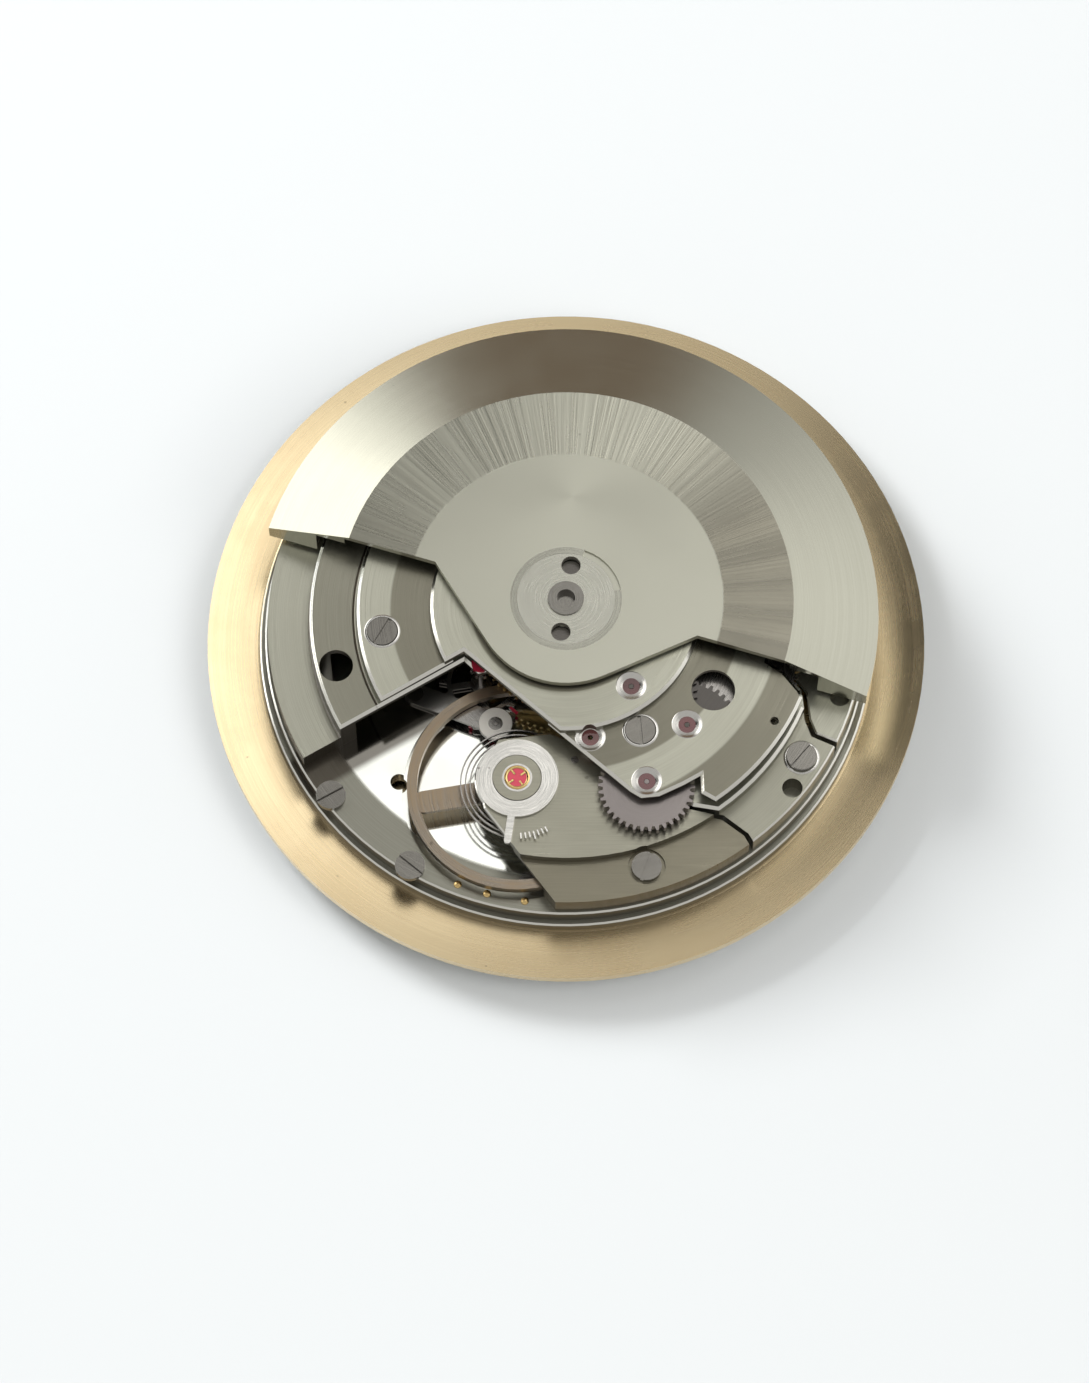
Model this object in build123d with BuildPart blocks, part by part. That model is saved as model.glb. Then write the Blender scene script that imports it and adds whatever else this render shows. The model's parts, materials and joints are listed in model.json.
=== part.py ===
from build123d import *
import os
from math import atan2, cos, degrees, hypot, radians, sin

# An automatic wrist-watch movement, seen from its back: rotor up, dial down, in millimetres.
# The centre of the movement is on the Z axis, and the lowest hand post stands at z = 0.
os.makedirs("parts", exist_ok=True)

# Outer sizes
plate_radius = 12.8
dial_rim_gap = 0.1
dial_rim_width = 2.1
dial_flat_radius = plate_radius + dial_rim_gap
dial_radius = dial_flat_radius + dial_rim_width
dial_thickness = 0.4
dial_rim_rise = 0.25
seconds_post_proud = 0.95
cannon_proud = 0.65
hour_pipe_proud = 0.3
dial_seat = seconds_post_proud + dial_thickness

# Running clearances
running = 0.03
side_gap = 0.06
wide_gap = 0.15
step_gap = 0.04
cut_overrun = 0.5
bridge_chamfer = 0.12
rim_chamfer = 0.07

# Heights above the dial seat
recess_top = 0.45
barrel_floor = 0.7
barrel_low = 0.75
barrel_high = 1.93
plate_top = 1.2
flange_top = 0.5
centre_wheel_low = 1.99
wheel_thickness = 0.14
third_wheel_low = 2.28
fourth_wheel_low = 2.58
barrel_bridge_low = 2.02
barrel_bridge_high = 2.78
foot_top = 2.2
train_bridge_low = 2.86
train_bridge_high = 3.2
ratchet_low = 2.84
ratchet_high = 3.04
reduction_high = 3.22
second_pinion_low = 3.1
second_wheel_low = 3.27
second_wheel_high = 3.38
first_wheel_low = 3.42
first_wheel_high = 3.52
auto_bridge_low = 3.57
auto_bridge_high = 3.77
auto_dome_high = 4.2
rotor_low = 4.38
rotor_high = 4.7
rotor_edge_high = 3.3
weight_low = 2.5
balance_low = 1.5
balance_rim_height = 0.4
hairspring_low = 2.08
hairspring_height = 0.12
cock_low = 2.3
cock_high = 2.62
escape_low = 1.0
escape_height = 0.12
stem_height = 1.3

# Gear train: teeth, modules and directions from the centre
barrel_teeth = 80
centre_pinion_teeth = 12
barrel_module = 0.125
barrel_angle = -20
centre_teeth = 80
third_pinion_teeth = 10
centre_module = 0.097
third_angle = 120
third_teeth = 75
fourth_pinion_teeth = 10
fourth_teeth = 80
escape_pinion_teeth = 8
escape_distance = 4.19
escape_angle = 212.8
escape_teeth = 15
escape_radius = 1.75
balance_distance = 7.45
balance_angle = 254.4
balance_radius = 4.55
balance_margin = 0.8
layout_radius = balance_distance + balance_radius + balance_margin
fork_share = 0.4

# Automatic train
auto_module = 0.1
rotor_gear_teeth = 38
first_wheel_teeth = 53
first_pinion_teeth = 14
second_wheel_teeth = 41
second_pinion_teeth = 22
reduction_teeth = 38
ratchet_teeth = 84
first_angle = -53.9
second_angle = -46.3
second_distance = 7.19

# Keyless and motion work
stem_angle = 36
stem_bore_radius = 0.5
crown_teeth = 38
winding_teeth = 16
sliding_radius = 0.88
motion_module = 0.12
cannon_teeth = 12
minute_teeth = 36
minute_pinion_teeth = 10
hour_teeth = 40
setting_teeth = 16
motion_low = 0.1
motion_wheel_height = 0.13

# Rotor
rotor_radius = 12.94
rotor_disc_radius = 6.5
rotor_cone_width = 3.56
rotor_land_radius = rotor_radius - rotor_cone_width
rotor_land_drop = 0.06
rotor_cut_angle = -17
rotor_corner_radius = 5.65
rotor_neck_radius = 3.75
weight_width = 2.09
weight_inner_radius = rotor_radius - weight_width
hub_radius = 2.3
bearing_radius = 1.15

# Screws and jewels
screw_head_radius = 0.62
screw_head_height = 0.25
screw_shank_radius = 0.3
slot_width = 0.14
slot_depth = 0.12
jewel_radius = 0.38
jewel_height = 0.15
pivot_radius = 0.1
arbor_radius = 0.22


def level(height):
    """The horizontal plane at a height above the dial seat."""
    return Plane.XY.offset(dial_seat + height)


def polar(distance, angle, origin=(0, 0)):
    """The point at a distance and an angle in degrees from an origin."""
    return (origin[0] + distance * cos(radians(angle)), origin[1] + distance * sin(radians(angle)))


def shared(points):
    """Points given as shares of the radius that the train and the balance fill."""
    return [(x * layout_radius, y * layout_radius) for x, y in points]


def gap(first, second):
    """The distance between two points."""
    return hypot(second[0] - first[0], second[1] - first[1])


def bearing(first, second):
    """The direction in degrees from one point to another."""
    return degrees(atan2(second[1] - first[1], second[0] - first[0]))


def meshed(phase, teeth, centre, other_teeth, other_centre):
    """The angle of a tooth of the second gear, so that it meshes with the first at rest."""
    line = bearing(centre, other_centre)
    pitch = 360 / teeth
    past = ((line - phase) / pitch) % 1
    return line + 180 + (past - 0.5) * 360 / other_teeth


tooth_shares = ((-0.31, 0), (-0.15, 1), (0.15, 1), (0.31, 0))
tip_share = 0.85
root_share = 1.05


def toothed(centre, teeth, module, phase):
    """A gear's outline in the current sketch: straight-sided teeth on its pitch circle."""
    pitch_radius = teeth * module / 2
    low = pitch_radius - root_share * module
    high = pitch_radius + tip_share * module
    points = []
    for tooth in range(teeth):
        for turn, rise in tooth_shares:
            angle = phase + (tooth + turn) * 360 / teeth
            points.append(polar(low + (high - low) * rise, angle, centre))
    Polygon(*points, align=None)


def disc(centre, radius, mode=Mode.ADD):
    """A circle at a point of the current sketch."""
    with Locations(centre):
        Circle(radius, mode=mode)


def hole(centre, radius):
    """A round hole at a point of the current sketch."""
    disc(centre, radius, Mode.SUBTRACT)


def bar(first, second, width):
    """A round-ended bar between two points, in the current sketch."""
    middle = ((first[0] + second[0]) / 2, (first[1] + second[1]) / 2, 0)
    with Locations(Location(middle, (0, 0, bearing(first, second)))):
        SlotCenterToCenter(gap(first, second), width)


spoke_share = 0.11


def spoked(centre, rim_radius, hub, spokes, phase):
    """The windows between a wheel's spokes, cut from the current sketch."""
    bar = rim_radius * spoke_share
    window = 360 / spokes
    for number in range(spokes):
        middle = phase + (number + 0.5) * window
        out_turn = window / 2 - degrees(bar / rim_radius)
        in_turn = window / 2 - degrees(bar / hub)
        outer = [polar(rim_radius, middle + share * out_turn, centre) for share in (-1, 0, 1)]
        inner = [polar(hub, middle + share * in_turn, centre) for share in (1, 0, -1)]
        with BuildLine(mode=Mode.PRIVATE) as window_line:
            ThreePointArc(*outer)
            Line(outer[2], inner[0])
            ThreePointArc(*inner)
            Line(inner[2], outer[0])
        make_face(window_line.edges(), mode=Mode.SUBTRACT)


def top_rim(piece):
    """The outer edges of the highest flat face of a piece so far."""
    return piece.faces().sort_by(Axis.Z)[-1].outer_wire().edges()


def widest_arcs(piece):
    """The arcs of largest radius in the outer edge of the highest flat face of a piece so far."""
    return top_rim(piece).filter_by(GeomType.CIRCLE).group_by(SortBy.RADIUS)[-1]


def finish(piece, name):
    """Label a finished piece and write it."""
    piece.part.label = name
    export_step(piece.part, f"parts/{name}.step")


# Places in plan, from the gear sizes
centre_place = (0, 0)
barrel_distance = barrel_module * (barrel_teeth + centre_pinion_teeth) / 2
barrel_place = polar(barrel_distance, barrel_angle)
third_distance = centre_module * (centre_teeth + third_pinion_teeth) / 2
third_place = polar(third_distance, third_angle)
third_module = 2 * third_distance / (third_teeth + fourth_pinion_teeth)
escape_place = polar(escape_distance, escape_angle)
fourth_module = 2 * escape_distance / (fourth_teeth + escape_pinion_teeth)
balance_place = polar(balance_distance, balance_angle)
fork_place = tuple(e + (b - e) * fork_share for e, b in zip(escape_place, balance_place))
first_place = polar(auto_module * (rotor_gear_teeth + first_wheel_teeth) / 2, first_angle)
second_place = polar(second_distance, second_angle)
first_pinion_module = 2 * gap(first_place, second_place) / (first_pinion_teeth + second_wheel_teeth)


def crossing(first, first_radius, second, second_radius):
    """The point at given distances from two places, on the right of the line between them."""
    apart = gap(first, second)
    along = (first_radius ** 2 - second_radius ** 2 + apart ** 2) / (2 * apart)
    across = (first_radius ** 2 - along ** 2) ** 0.5
    return polar(across, bearing(first, second) - 90, polar(along, bearing(first, second), first))


reduction_place = crossing(
    barrel_place, auto_module * (ratchet_teeth + reduction_teeth) / 2,
    second_place, auto_module * (second_pinion_teeth + reduction_teeth) / 2)
crown_reach = auto_module * (ratchet_teeth + crown_teeth) / 2
barrel_along = barrel_distance * cos(radians(stem_angle - barrel_angle))
barrel_across = barrel_distance * sin(radians(stem_angle - barrel_angle))
crown_distance = barrel_along + (crown_reach ** 2 - barrel_across ** 2) ** 0.5
crown_wheel_place = polar(crown_distance, stem_angle)
minute_distance = motion_module * (cannon_teeth + minute_teeth) / 2
minute_place = polar(minute_distance, stem_angle)
hour_module = 2 * minute_distance / (minute_pinion_teeth + hour_teeth)
setting_place = polar(minute_distance + motion_module * (minute_teeth + setting_teeth) / 2, stem_angle)

# Teeth angles at rest, so that every pair is in mesh
barrel_phase = 0
centre_pinion_phase = meshed(barrel_phase, barrel_teeth, barrel_place, centre_pinion_teeth, centre_place)
centre_phase = 0
third_pinion_phase = meshed(centre_phase, centre_teeth, centre_place, third_pinion_teeth, third_place)
third_phase = 0
fourth_pinion_phase = meshed(third_phase, third_teeth, third_place, fourth_pinion_teeth, centre_place)
fourth_phase = 0
escape_pinion_phase = meshed(fourth_phase, fourth_teeth, centre_place, escape_pinion_teeth, escape_place)
rotor_gear_phase = 0
first_phase = meshed(rotor_gear_phase, rotor_gear_teeth, centre_place, first_wheel_teeth, first_place)
first_pinion_phase = 0
second_phase = meshed(first_pinion_phase, first_pinion_teeth, first_place, second_wheel_teeth, second_place)
second_pinion_phase = 0
reduction_phase = meshed(
    second_pinion_phase, second_pinion_teeth, second_place, reduction_teeth, reduction_place)
ratchet_phase = meshed(reduction_phase, reduction_teeth, reduction_place, ratchet_teeth, barrel_place)
crown_phase = meshed(ratchet_phase, ratchet_teeth, barrel_place, crown_teeth, crown_wheel_place)
cannon_phase = 0
minute_phase = meshed(cannon_phase, cannon_teeth, centre_place, minute_teeth, minute_place)
minute_pinion_phase = 0
hour_phase = meshed(minute_pinion_phase, minute_pinion_teeth, minute_place, hour_teeth, centre_place)
setting_phase = meshed(minute_phase, minute_teeth, minute_place, setting_teeth, setting_place)

# Dial, seen from behind: flat on its seat, its gilt rim lifted towards the back
dial_hole_radius = 1.0
rim_bow_share = 0.62
foot_radius = 0.35
foot_distance = 11.05
foot_angles = (100, 262)
foot_length = 0.95

with BuildPart() as dial:
    with BuildSketch(Plane.XZ):
        back = dial_seat
        front = dial_seat - dial_thickness
        middle = (dial_flat_radius + dial_radius) / 2
        bow = dial_rim_rise * (1 - rim_bow_share)
        rim_low = front + dial_rim_rise
        with BuildLine():
            Polyline((dial_flat_radius, front), (dial_hole_radius, front), (dial_hole_radius, back),
                     (dial_flat_radius, back))
            ThreePointArc((dial_flat_radius, back), (middle, back + bow), (dial_radius, back + dial_rim_rise))
            Line((dial_radius, back + dial_rim_rise), (dial_radius, rim_low))
            ThreePointArc((dial_radius, rim_low), (middle, front + bow), (dial_flat_radius, front))
        make_face()
    revolve(axis=Axis.Z)
finish(dial, "dial")

foot_places = [polar(foot_distance, angle) for angle in foot_angles]
with BuildPart() as dial_feet:
    with BuildSketch(level(0)):
        for place in foot_places:
            disc(place, foot_radius)
    extrude(amount=foot_length)
finish(dial_feet, "dial_feet")

# Main plate
flange_width = 0.25
recess_wall = 0.95
body_radius = plate_radius - flange_width
recess_radius = body_radius - recess_wall
barrel_tip_radius = barrel_module * (barrel_teeth / 2 + tip_share)
barrel_pocket_radius = barrel_tip_radius + wide_gap
balance_pocket_radius = 4.75
balance_floor = 0.75
escape_floor = 0.9
escape_pocket_radius = escape_radius + wide_gap
barrel_pivot_radius = 0.4
centre_pocket_radius = 0.98
centre_bore_radius = 0.36
slot_inner = 6.45
slot_outer = 9.95
slot_half_width = 1.4
boss_outer = 12.3
fork_pocket_width = 2.6
boss_half_width = 1.7
boss_top = 2.0
tie_hole_radius = 0.35

stem_plane = Plane(
    origin=(0, 0, dial_seat + stem_height), x_dir=(-sin(radians(stem_angle)), cos(radians(stem_angle)), 0),
    z_dir=(cos(radians(stem_angle)), sin(radians(stem_angle)), 0))


def beside_stem(along, across):
    """The point at a distance along the stem and at its side."""
    return polar(across, stem_angle + 90, polar(along, stem_angle))


def stem_block(inner, outer, half_width):
    """A rectangle along the stem, in the current sketch."""
    corners = [beside_stem(inner, -half_width), beside_stem(outer, -half_width),
               beside_stem(outer, half_width), beside_stem(inner, half_width)]
    Polygon(*corners, align=None)


plate_jewel_places = [third_place, escape_place, fork_place]
plate_screw_shares = ((-0.757, -0.578), (-0.5, -0.82))
plate_screw_places = shared(plate_screw_shares)
small_hole_shares = ((-0.539, -0.527),)
cock_screw_share = (0.258, -0.848)
cock_screw_place = shared([cock_screw_share])[0]
barrel_screw_shares = ((0.758, -0.473), (0.42, 0.79))
barrel_screw_places = shared(barrel_screw_shares)
train_screw_share = 0.89
train_screw_angles = (118, 150)
train_screw_places = [polar(train_screw_share * layout_radius, angle) for angle in train_screw_angles]
shank_hole_radius = screw_shank_radius + running
setting_post_radius = 0.3
cover_low = 0.02
cover_high = 0.1
cover_screw_shank = 0.14
lever_post = (10.35, 2.15)
yoke_post = (9.55, -2.95)
lever_place = beside_stem(*lever_post)
yoke_place = beside_stem(*yoke_post)

with BuildPart() as main_plate:
    with BuildSketch(level(0)):
        Circle(plate_radius)
    extrude(amount=flange_top)
    chamfer(top_rim(main_plate), length=rim_chamfer)
    with BuildSketch(level(0)):
        Circle(body_radius)
    extrude(amount=plate_top)
    chamfer(top_rim(main_plate), length=rim_chamfer)
    with BuildSketch(level(plate_top)):
        stem_block(slot_outer, boss_outer, boss_half_width)
    extrude(amount=boss_top - plate_top)
    with BuildSketch(level(0)):
        Circle(recess_radius)
        stem_block(slot_outer, boss_outer, boss_half_width)
        for place in foot_places:
            hole(place, foot_radius + wide_gap)
    extrude(amount=recess_top, mode=Mode.SUBTRACT)
    with BuildSketch(level(barrel_floor)):
        disc(barrel_place, barrel_pocket_radius)
        disc(centre_place, centre_pocket_radius)
    extrude(amount=plate_top, mode=Mode.SUBTRACT)
    with BuildSketch(level(balance_floor)):
        disc(balance_place, balance_pocket_radius)
    extrude(amount=plate_top, mode=Mode.SUBTRACT)
    with BuildSketch(level(escape_floor)):
        disc(escape_place, escape_pocket_radius)
        bar(escape_place, fork_place, fork_pocket_width)
    extrude(amount=plate_top, mode=Mode.SUBTRACT)
    with BuildSketch(level(0)):
        stem_block(slot_inner, slot_outer, slot_half_width)
        disc(centre_place, centre_bore_radius)
        disc(barrel_place, barrel_pivot_radius + running)
    extrude(amount=boss_top, mode=Mode.SUBTRACT)
    with BuildSketch(stem_plane.offset(slot_outer - wide_gap)):
        Circle(stem_bore_radius)
    extrude(amount=plate_radius, mode=Mode.SUBTRACT)
    with BuildSketch(level(recess_top - cut_overrun)):
        for place in plate_jewel_places:
            disc(place, jewel_radius)
        for place in foot_places:
            disc(place, foot_radius + running)
        for place in shared(small_hole_shares):
            disc(place, tie_hole_radius)
        for place in barrel_screw_places + train_screw_places + [cock_screw_place] + plate_screw_places:
            disc(place, shank_hole_radius)
    extrude(amount=plate_top + cut_overrun, mode=Mode.SUBTRACT)
    with BuildSketch(level(recess_top - cut_overrun)):
        disc(balance_place, jewel_radius)
    extrude(amount=plate_top, mode=Mode.SUBTRACT)
    with BuildSketch(level(cover_high)):
        for place in (minute_place, lever_place, yoke_place):
            disc(place, setting_post_radius)
    extrude(amount=recess_top - cover_high)
    with BuildSketch(level(cover_high)):
        for place in (lever_place, yoke_place):
            disc(place, cover_screw_shank)
    extrude(amount=recess_top - cover_high, mode=Mode.SUBTRACT)
finish(main_plate, "main_plate")

# Jewels of the main plate
jewel_hole = pivot_radius + running / 2


def jewel_rings(places):
    """Jewels with a hole, in the current sketch."""
    for place in places:
        disc(place, jewel_radius)
        hole(place, jewel_hole)


with BuildPart() as plate_jewels:
    with BuildSketch(level(plate_top - jewel_height)):
        jewel_rings([third_place])
    extrude(amount=jewel_height)
    with BuildSketch(level(escape_floor - jewel_height)):
        jewel_rings([escape_place])
    extrude(amount=jewel_height)
    with BuildSketch(level(balance_floor - jewel_height)):
        jewel_rings([fork_place, balance_place])
    extrude(amount=jewel_height)
finish(plate_jewels, "plate_jewels")


# Motion work, between the dial and the main plate
seat_step = 0.02
seconds_radius = 0.125
seconds_collar = 0.285
seconds_collar_length = 0.58
centre_tube_radius = 0.3
centre_tube_bore = 0.16
centre_tube_low = -0.11
cannon_radius = 0.45
cannon_collar = 0.62
cannon_bore = centre_tube_radius + running
hour_pipe_radius = 0.8
hour_collar = 0.96
hour_pipe_bore = cannon_collar + running
motion_high = motion_low + motion_wheel_height
upper_motion_low = motion_high + step_gap
post_bore = setting_post_radius + running

with BuildPart() as hour_wheel:
    with BuildSketch(level(motion_low)):
        toothed(centre_place, hour_teeth, hour_module, hour_phase)
        hole(centre_place, hour_pipe_bore)
    extrude(amount=motion_wheel_height)
    with BuildSketch(level(-dial_thickness - hour_pipe_proud)):
        Circle(hour_pipe_radius)
        hole(centre_place, hour_pipe_bore)
    extrude(amount=dial_thickness + hour_pipe_proud + motion_high)
    with BuildSketch(level(-dial_thickness - seat_step)):
        Circle(hour_collar)
        hole(centre_place, hour_pipe_bore)
    extrude(amount=dial_thickness + seat_step + motion_high)
finish(hour_wheel, "hour_wheel")

with BuildPart() as cannon_pinion:
    with BuildSketch(level(-dial_thickness - cannon_proud)):
        Circle(cannon_radius)
        hole(centre_place, cannon_bore)
    extrude(amount=dial_thickness + cannon_proud + upper_motion_low)
    with BuildSketch(level(-dial_thickness - hour_pipe_proud - seat_step)):
        Circle(cannon_collar)
        hole(centre_place, cannon_bore)
    extrude(amount=dial_thickness + hour_pipe_proud + seat_step + upper_motion_low)
    with BuildSketch(level(upper_motion_low)):
        toothed(centre_place, cannon_teeth, motion_module, cannon_phase)
        hole(centre_place, cannon_bore)
    extrude(amount=motion_wheel_height)
finish(cannon_pinion, "cannon_pinion")

with BuildPart() as minute_wheel:
    with BuildSketch(level(upper_motion_low)):
        toothed(minute_place, minute_teeth, motion_module, minute_phase)
        hole(minute_place, post_bore)
    extrude(amount=motion_wheel_height)
    with BuildSketch(level(cover_high)):
        toothed(minute_place, minute_pinion_teeth, hour_module, minute_pinion_phase)
        hole(minute_place, post_bore)
    extrude(amount=upper_motion_low - cover_high)
finish(minute_wheel, "minute_wheel")

setting_stud_radius = 0.25
with BuildPart() as setting_wheel:
    with BuildSketch(level(upper_motion_low)):
        toothed(setting_place, setting_teeth, motion_module, setting_phase)
        hole(setting_place, setting_stud_radius + running)
    extrude(amount=motion_wheel_height)
finish(setting_wheel, "setting_wheel")

# Keyless work on the stem's line
lever_low = 0.12
lever_high = 0.32
lever_width = 0.7
sliding_inner = 7.4
sliding_groove_inner = 7.6
sliding_groove_outer = 7.95
sliding_outer = 8.2
sliding_groove_radius = 0.6
sliding_travel = 0.3
pinion_bore = stem_bore_radius
winding_inner = 8.3
winding_face = 8.75
winding_outer = 9.7
winding_tip = stem_height - cover_high - step_gap
winding_body = 0.92
winding_module = 2 * winding_tip / (winding_teeth + 2 * tip_share)
finger_radius = 0.1
finger_top = 0.62
finger_place = beside_stem((sliding_groove_inner + sliding_groove_outer) / 2, 0)
lever_points = ((10.5, 0.25), (9.35, 2.45))
yoke_points = ((8.3, -1.7), (10.1, -2.2))
spring_points = ((10.85, -1.35), (9.4, -1.0), (8.85, -1.25))
lever_tip, lever_beak = [beside_stem(*point) for point in lever_points]
yoke_bend, yoke_heel = [beside_stem(*point) for point in yoke_points]
spring_foot, spring_bend, spring_tip = [beside_stem(*point) for point in spring_points]
spring_width = 0.16

with BuildPart() as setting_lever:
    with BuildSketch(level(lever_low)):
        bar(lever_place, lever_tip, lever_width)
        bar(lever_place, lever_beak, lever_width)
        disc(lever_place, lever_width)
        hole(lever_place, post_bore)
    extrude(amount=lever_high - lever_low)
finish(setting_lever, "setting_lever")

with BuildPart() as yoke:
    with BuildSketch(level(lever_low)):
        bar(yoke_place, yoke_bend, lever_width)
        bar(yoke_bend, finger_place, lever_width / 2)
        bar(yoke_place, yoke_heel, lever_width / 2)
        disc(yoke_place, lever_width)
        hole(yoke_place, post_bore)
    extrude(amount=lever_high - lever_low)
    with BuildSketch(level(lever_high)):
        disc(finger_place, finger_radius)
    extrude(amount=finger_top - lever_high)
finish(yoke, "yoke")

with BuildPart() as yoke_spring:
    with BuildSketch(level(lever_low)):
        bar(spring_foot, spring_bend, spring_width)
        bar(spring_bend, spring_tip, spring_width)
        disc(spring_foot, lever_width / 2)
    extrude(amount=recess_top - lever_low)
finish(yoke_spring, "yoke_spring")

cover_width = 1.3
cover_screw_radius = 0.4
cover_bend = (9.0, 0.3)
cover_middle = beside_stem(*cover_bend)
with BuildPart() as keyless_cover:
    with BuildSketch(level(cover_low)):
        bar(lever_place, cover_middle, cover_width)
        bar(cover_middle, yoke_place, cover_width)
        bar(cover_middle, setting_place, cover_width)
        for place in (lever_place, yoke_place):
            hole(place, cover_screw_radius)
    extrude(amount=cover_high - cover_low)
    with BuildSketch(level(cover_high)):
        disc(setting_place, setting_stud_radius)
    extrude(amount=recess_top - cover_high)
finish(keyless_cover, "keyless_cover")

with BuildPart() as keyless_screws:
    with BuildSketch(level(cover_low)):
        for place in (lever_place, yoke_place):
            disc(place, cover_screw_radius)
    extrude(amount=cover_high - cover_low)
    with BuildSketch(level(cover_high)):
        for place in (lever_place, yoke_place):
            disc(place, cover_screw_shank)
    extrude(amount=recess_top - cover_high)
finish(keyless_screws, "keyless_screws")

with BuildPart() as sliding_pinion:
    with BuildSketch(stem_plane.offset(sliding_inner)):
        Circle(sliding_radius)
        Circle(pinion_bore, mode=Mode.SUBTRACT)
    extrude(amount=sliding_outer - sliding_inner)
    with BuildSketch(stem_plane.offset(sliding_groove_inner)):
        Circle(sliding_radius)
        Circle(sliding_groove_radius, mode=Mode.SUBTRACT)
    extrude(amount=sliding_groove_outer - sliding_groove_inner, mode=Mode.SUBTRACT)
finish(sliding_pinion, "sliding_pinion")

with BuildPart() as winding_pinion:
    with BuildSketch(stem_plane.offset(winding_inner)):
        toothed(centre_place, winding_teeth, winding_module, 0)
        Circle(pinion_bore, mode=Mode.SUBTRACT)
    extrude(amount=winding_face - winding_inner)
    with BuildSketch(stem_plane.offset(winding_face)):
        Circle(winding_body)
        Circle(pinion_bore, mode=Mode.SUBTRACT)
    extrude(amount=winding_outer - winding_face)
finish(winding_pinion, "winding_pinion")

# Mainspring barrel
drum_radius = 4.35
drum_wall = 0.22
drum_floor = 0.14
drum_teeth_height = 0.32
cover_thickness = 0.15
barrel_hub_radius = 0.9
arbor_bore = 0.5
ratchet_screw_head = 0.16
drum_low = barrel_low + running
drum_bore = arbor_bore + running
drum_inner = drum_radius - drum_wall
cover_base = barrel_high - cover_thickness

with BuildPart() as barrel_drum:
    with BuildSketch(level(drum_low)):
        toothed(barrel_place, barrel_teeth, barrel_module, barrel_phase)
    extrude(amount=drum_teeth_height)
    with BuildSketch(level(drum_low)):
        disc(barrel_place, drum_radius)
    extrude(amount=cover_base - drum_low)
    with BuildSketch(level(drum_low + drum_floor)):
        disc(barrel_place, drum_inner)
    extrude(amount=barrel_high, mode=Mode.SUBTRACT)
    with BuildSketch(level(0)):
        disc(barrel_place, drum_bore)
    extrude(amount=barrel_high, mode=Mode.SUBTRACT)
finish(barrel_drum, "barrel_drum")

with BuildPart() as barrel_cover:
    with BuildSketch(level(cover_base)):
        disc(barrel_place, drum_radius)
        hole(barrel_place, drum_bore)
    extrude(amount=cover_thickness)
finish(barrel_cover, "barrel_cover")

with BuildPart() as barrel_arbor:
    with BuildSketch(level(recess_top)):
        disc(barrel_place, barrel_pivot_radius)
    extrude(amount=barrel_high - recess_top)
    with BuildSketch(level(drum_low)):
        disc(barrel_place, arbor_bore)
    extrude(amount=ratchet_high - drum_low)
    with BuildSketch(level(drum_low + drum_floor + step_gap)):
        disc(barrel_place, barrel_hub_radius)
    extrude(amount=cover_base - drum_low - drum_floor - 2 * step_gap)
    with BuildSketch(level(ratchet_low)):
        disc(barrel_place, screw_shank_radius)
    extrude(amount=ratchet_high, mode=Mode.SUBTRACT)
finish(barrel_arbor, "barrel_arbor")


def spiral(centre, inner_radius, pitch, turns, thickness, start):
    """A flat spring of half circles, each wider than the last, in the current sketch."""
    edges = []
    ends = []
    for side in (-thickness / 2, thickness / 2):
        radius = inner_radius
        angle = start
        middle = centre
        first = polar(radius + side, angle, middle)
        last = first
        for half in range(2 * turns):
            top = polar(radius + side, angle + 90, middle)
            last = polar(radius + side, angle + 180, middle)
            edges.append(Edge.make_three_point_arc(polar(radius + side, angle, middle), top, last))
            angle += 180
            middle = polar(-pitch / 2, angle, middle)
            radius += pitch / 2
        ends.append((first, last))
    edges.append(Edge.make_line(ends[0][0], ends[1][0]))
    edges.append(Edge.make_line(ends[0][1], ends[1][1]))
    make_face(edges)


spring_thickness = 0.1
spring_turns = 7
spring_start = barrel_hub_radius + step_gap + spring_thickness / 2
spring_pitch = (drum_inner - spring_start - spring_thickness) / spring_turns
with BuildPart() as mainspring:
    with BuildSketch(level(drum_low + drum_floor + step_gap)):
        spiral(barrel_place, spring_start, spring_pitch, spring_turns, spring_thickness, 0)
    extrude(amount=cover_base - drum_low - drum_floor - 2 * step_gap)
finish(mainspring, "mainspring")

# Going train
centre_wheel_high = centre_wheel_low + wheel_thickness
centre_wheel_radius = centre_teeth * centre_module / 2
third_wheel_radius = third_teeth * third_module / 2
fourth_wheel_radius = fourth_teeth * fourth_module / 2
rim_share = 0.86
hub_share = 0.24
centre_spokes = 5
centre_spoke_angle = 20
fourth_spokes = 4
fourth_spoke_angle = 45
centre_shoulder = 0.6
train_jewel_low = train_bridge_high - jewel_height

with BuildPart() as centre_wheel:
    with BuildSketch(level(centre_wheel_low)):
        toothed(centre_place, centre_teeth, centre_module, centre_phase)
        spoked(centre_place, centre_wheel_radius * rim_share, centre_wheel_radius * hub_share,
               centre_spokes, centre_spoke_angle)
        hole(centre_place, centre_tube_radius)
    extrude(amount=wheel_thickness)
finish(centre_wheel, "centre_wheel")

with BuildPart() as centre_arbor:
    with BuildSketch(level(centre_tube_low)):
        Circle(centre_tube_radius)
    extrude(amount=centre_wheel_high - centre_tube_low)
    with BuildSketch(level(drum_low)):
        toothed(centre_place, centre_pinion_teeth, barrel_module, centre_pinion_phase)
    extrude(amount=plate_top - drum_low)
    with BuildSketch(level(plate_top)):
        Circle(centre_shoulder)
    extrude(amount=centre_wheel_low - plate_top)
    with BuildSketch(level(centre_tube_low)):
        Circle(centre_tube_bore)
    extrude(amount=centre_wheel_high - centre_tube_low, mode=Mode.SUBTRACT)
finish(centre_arbor, "centre_arbor")

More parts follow.
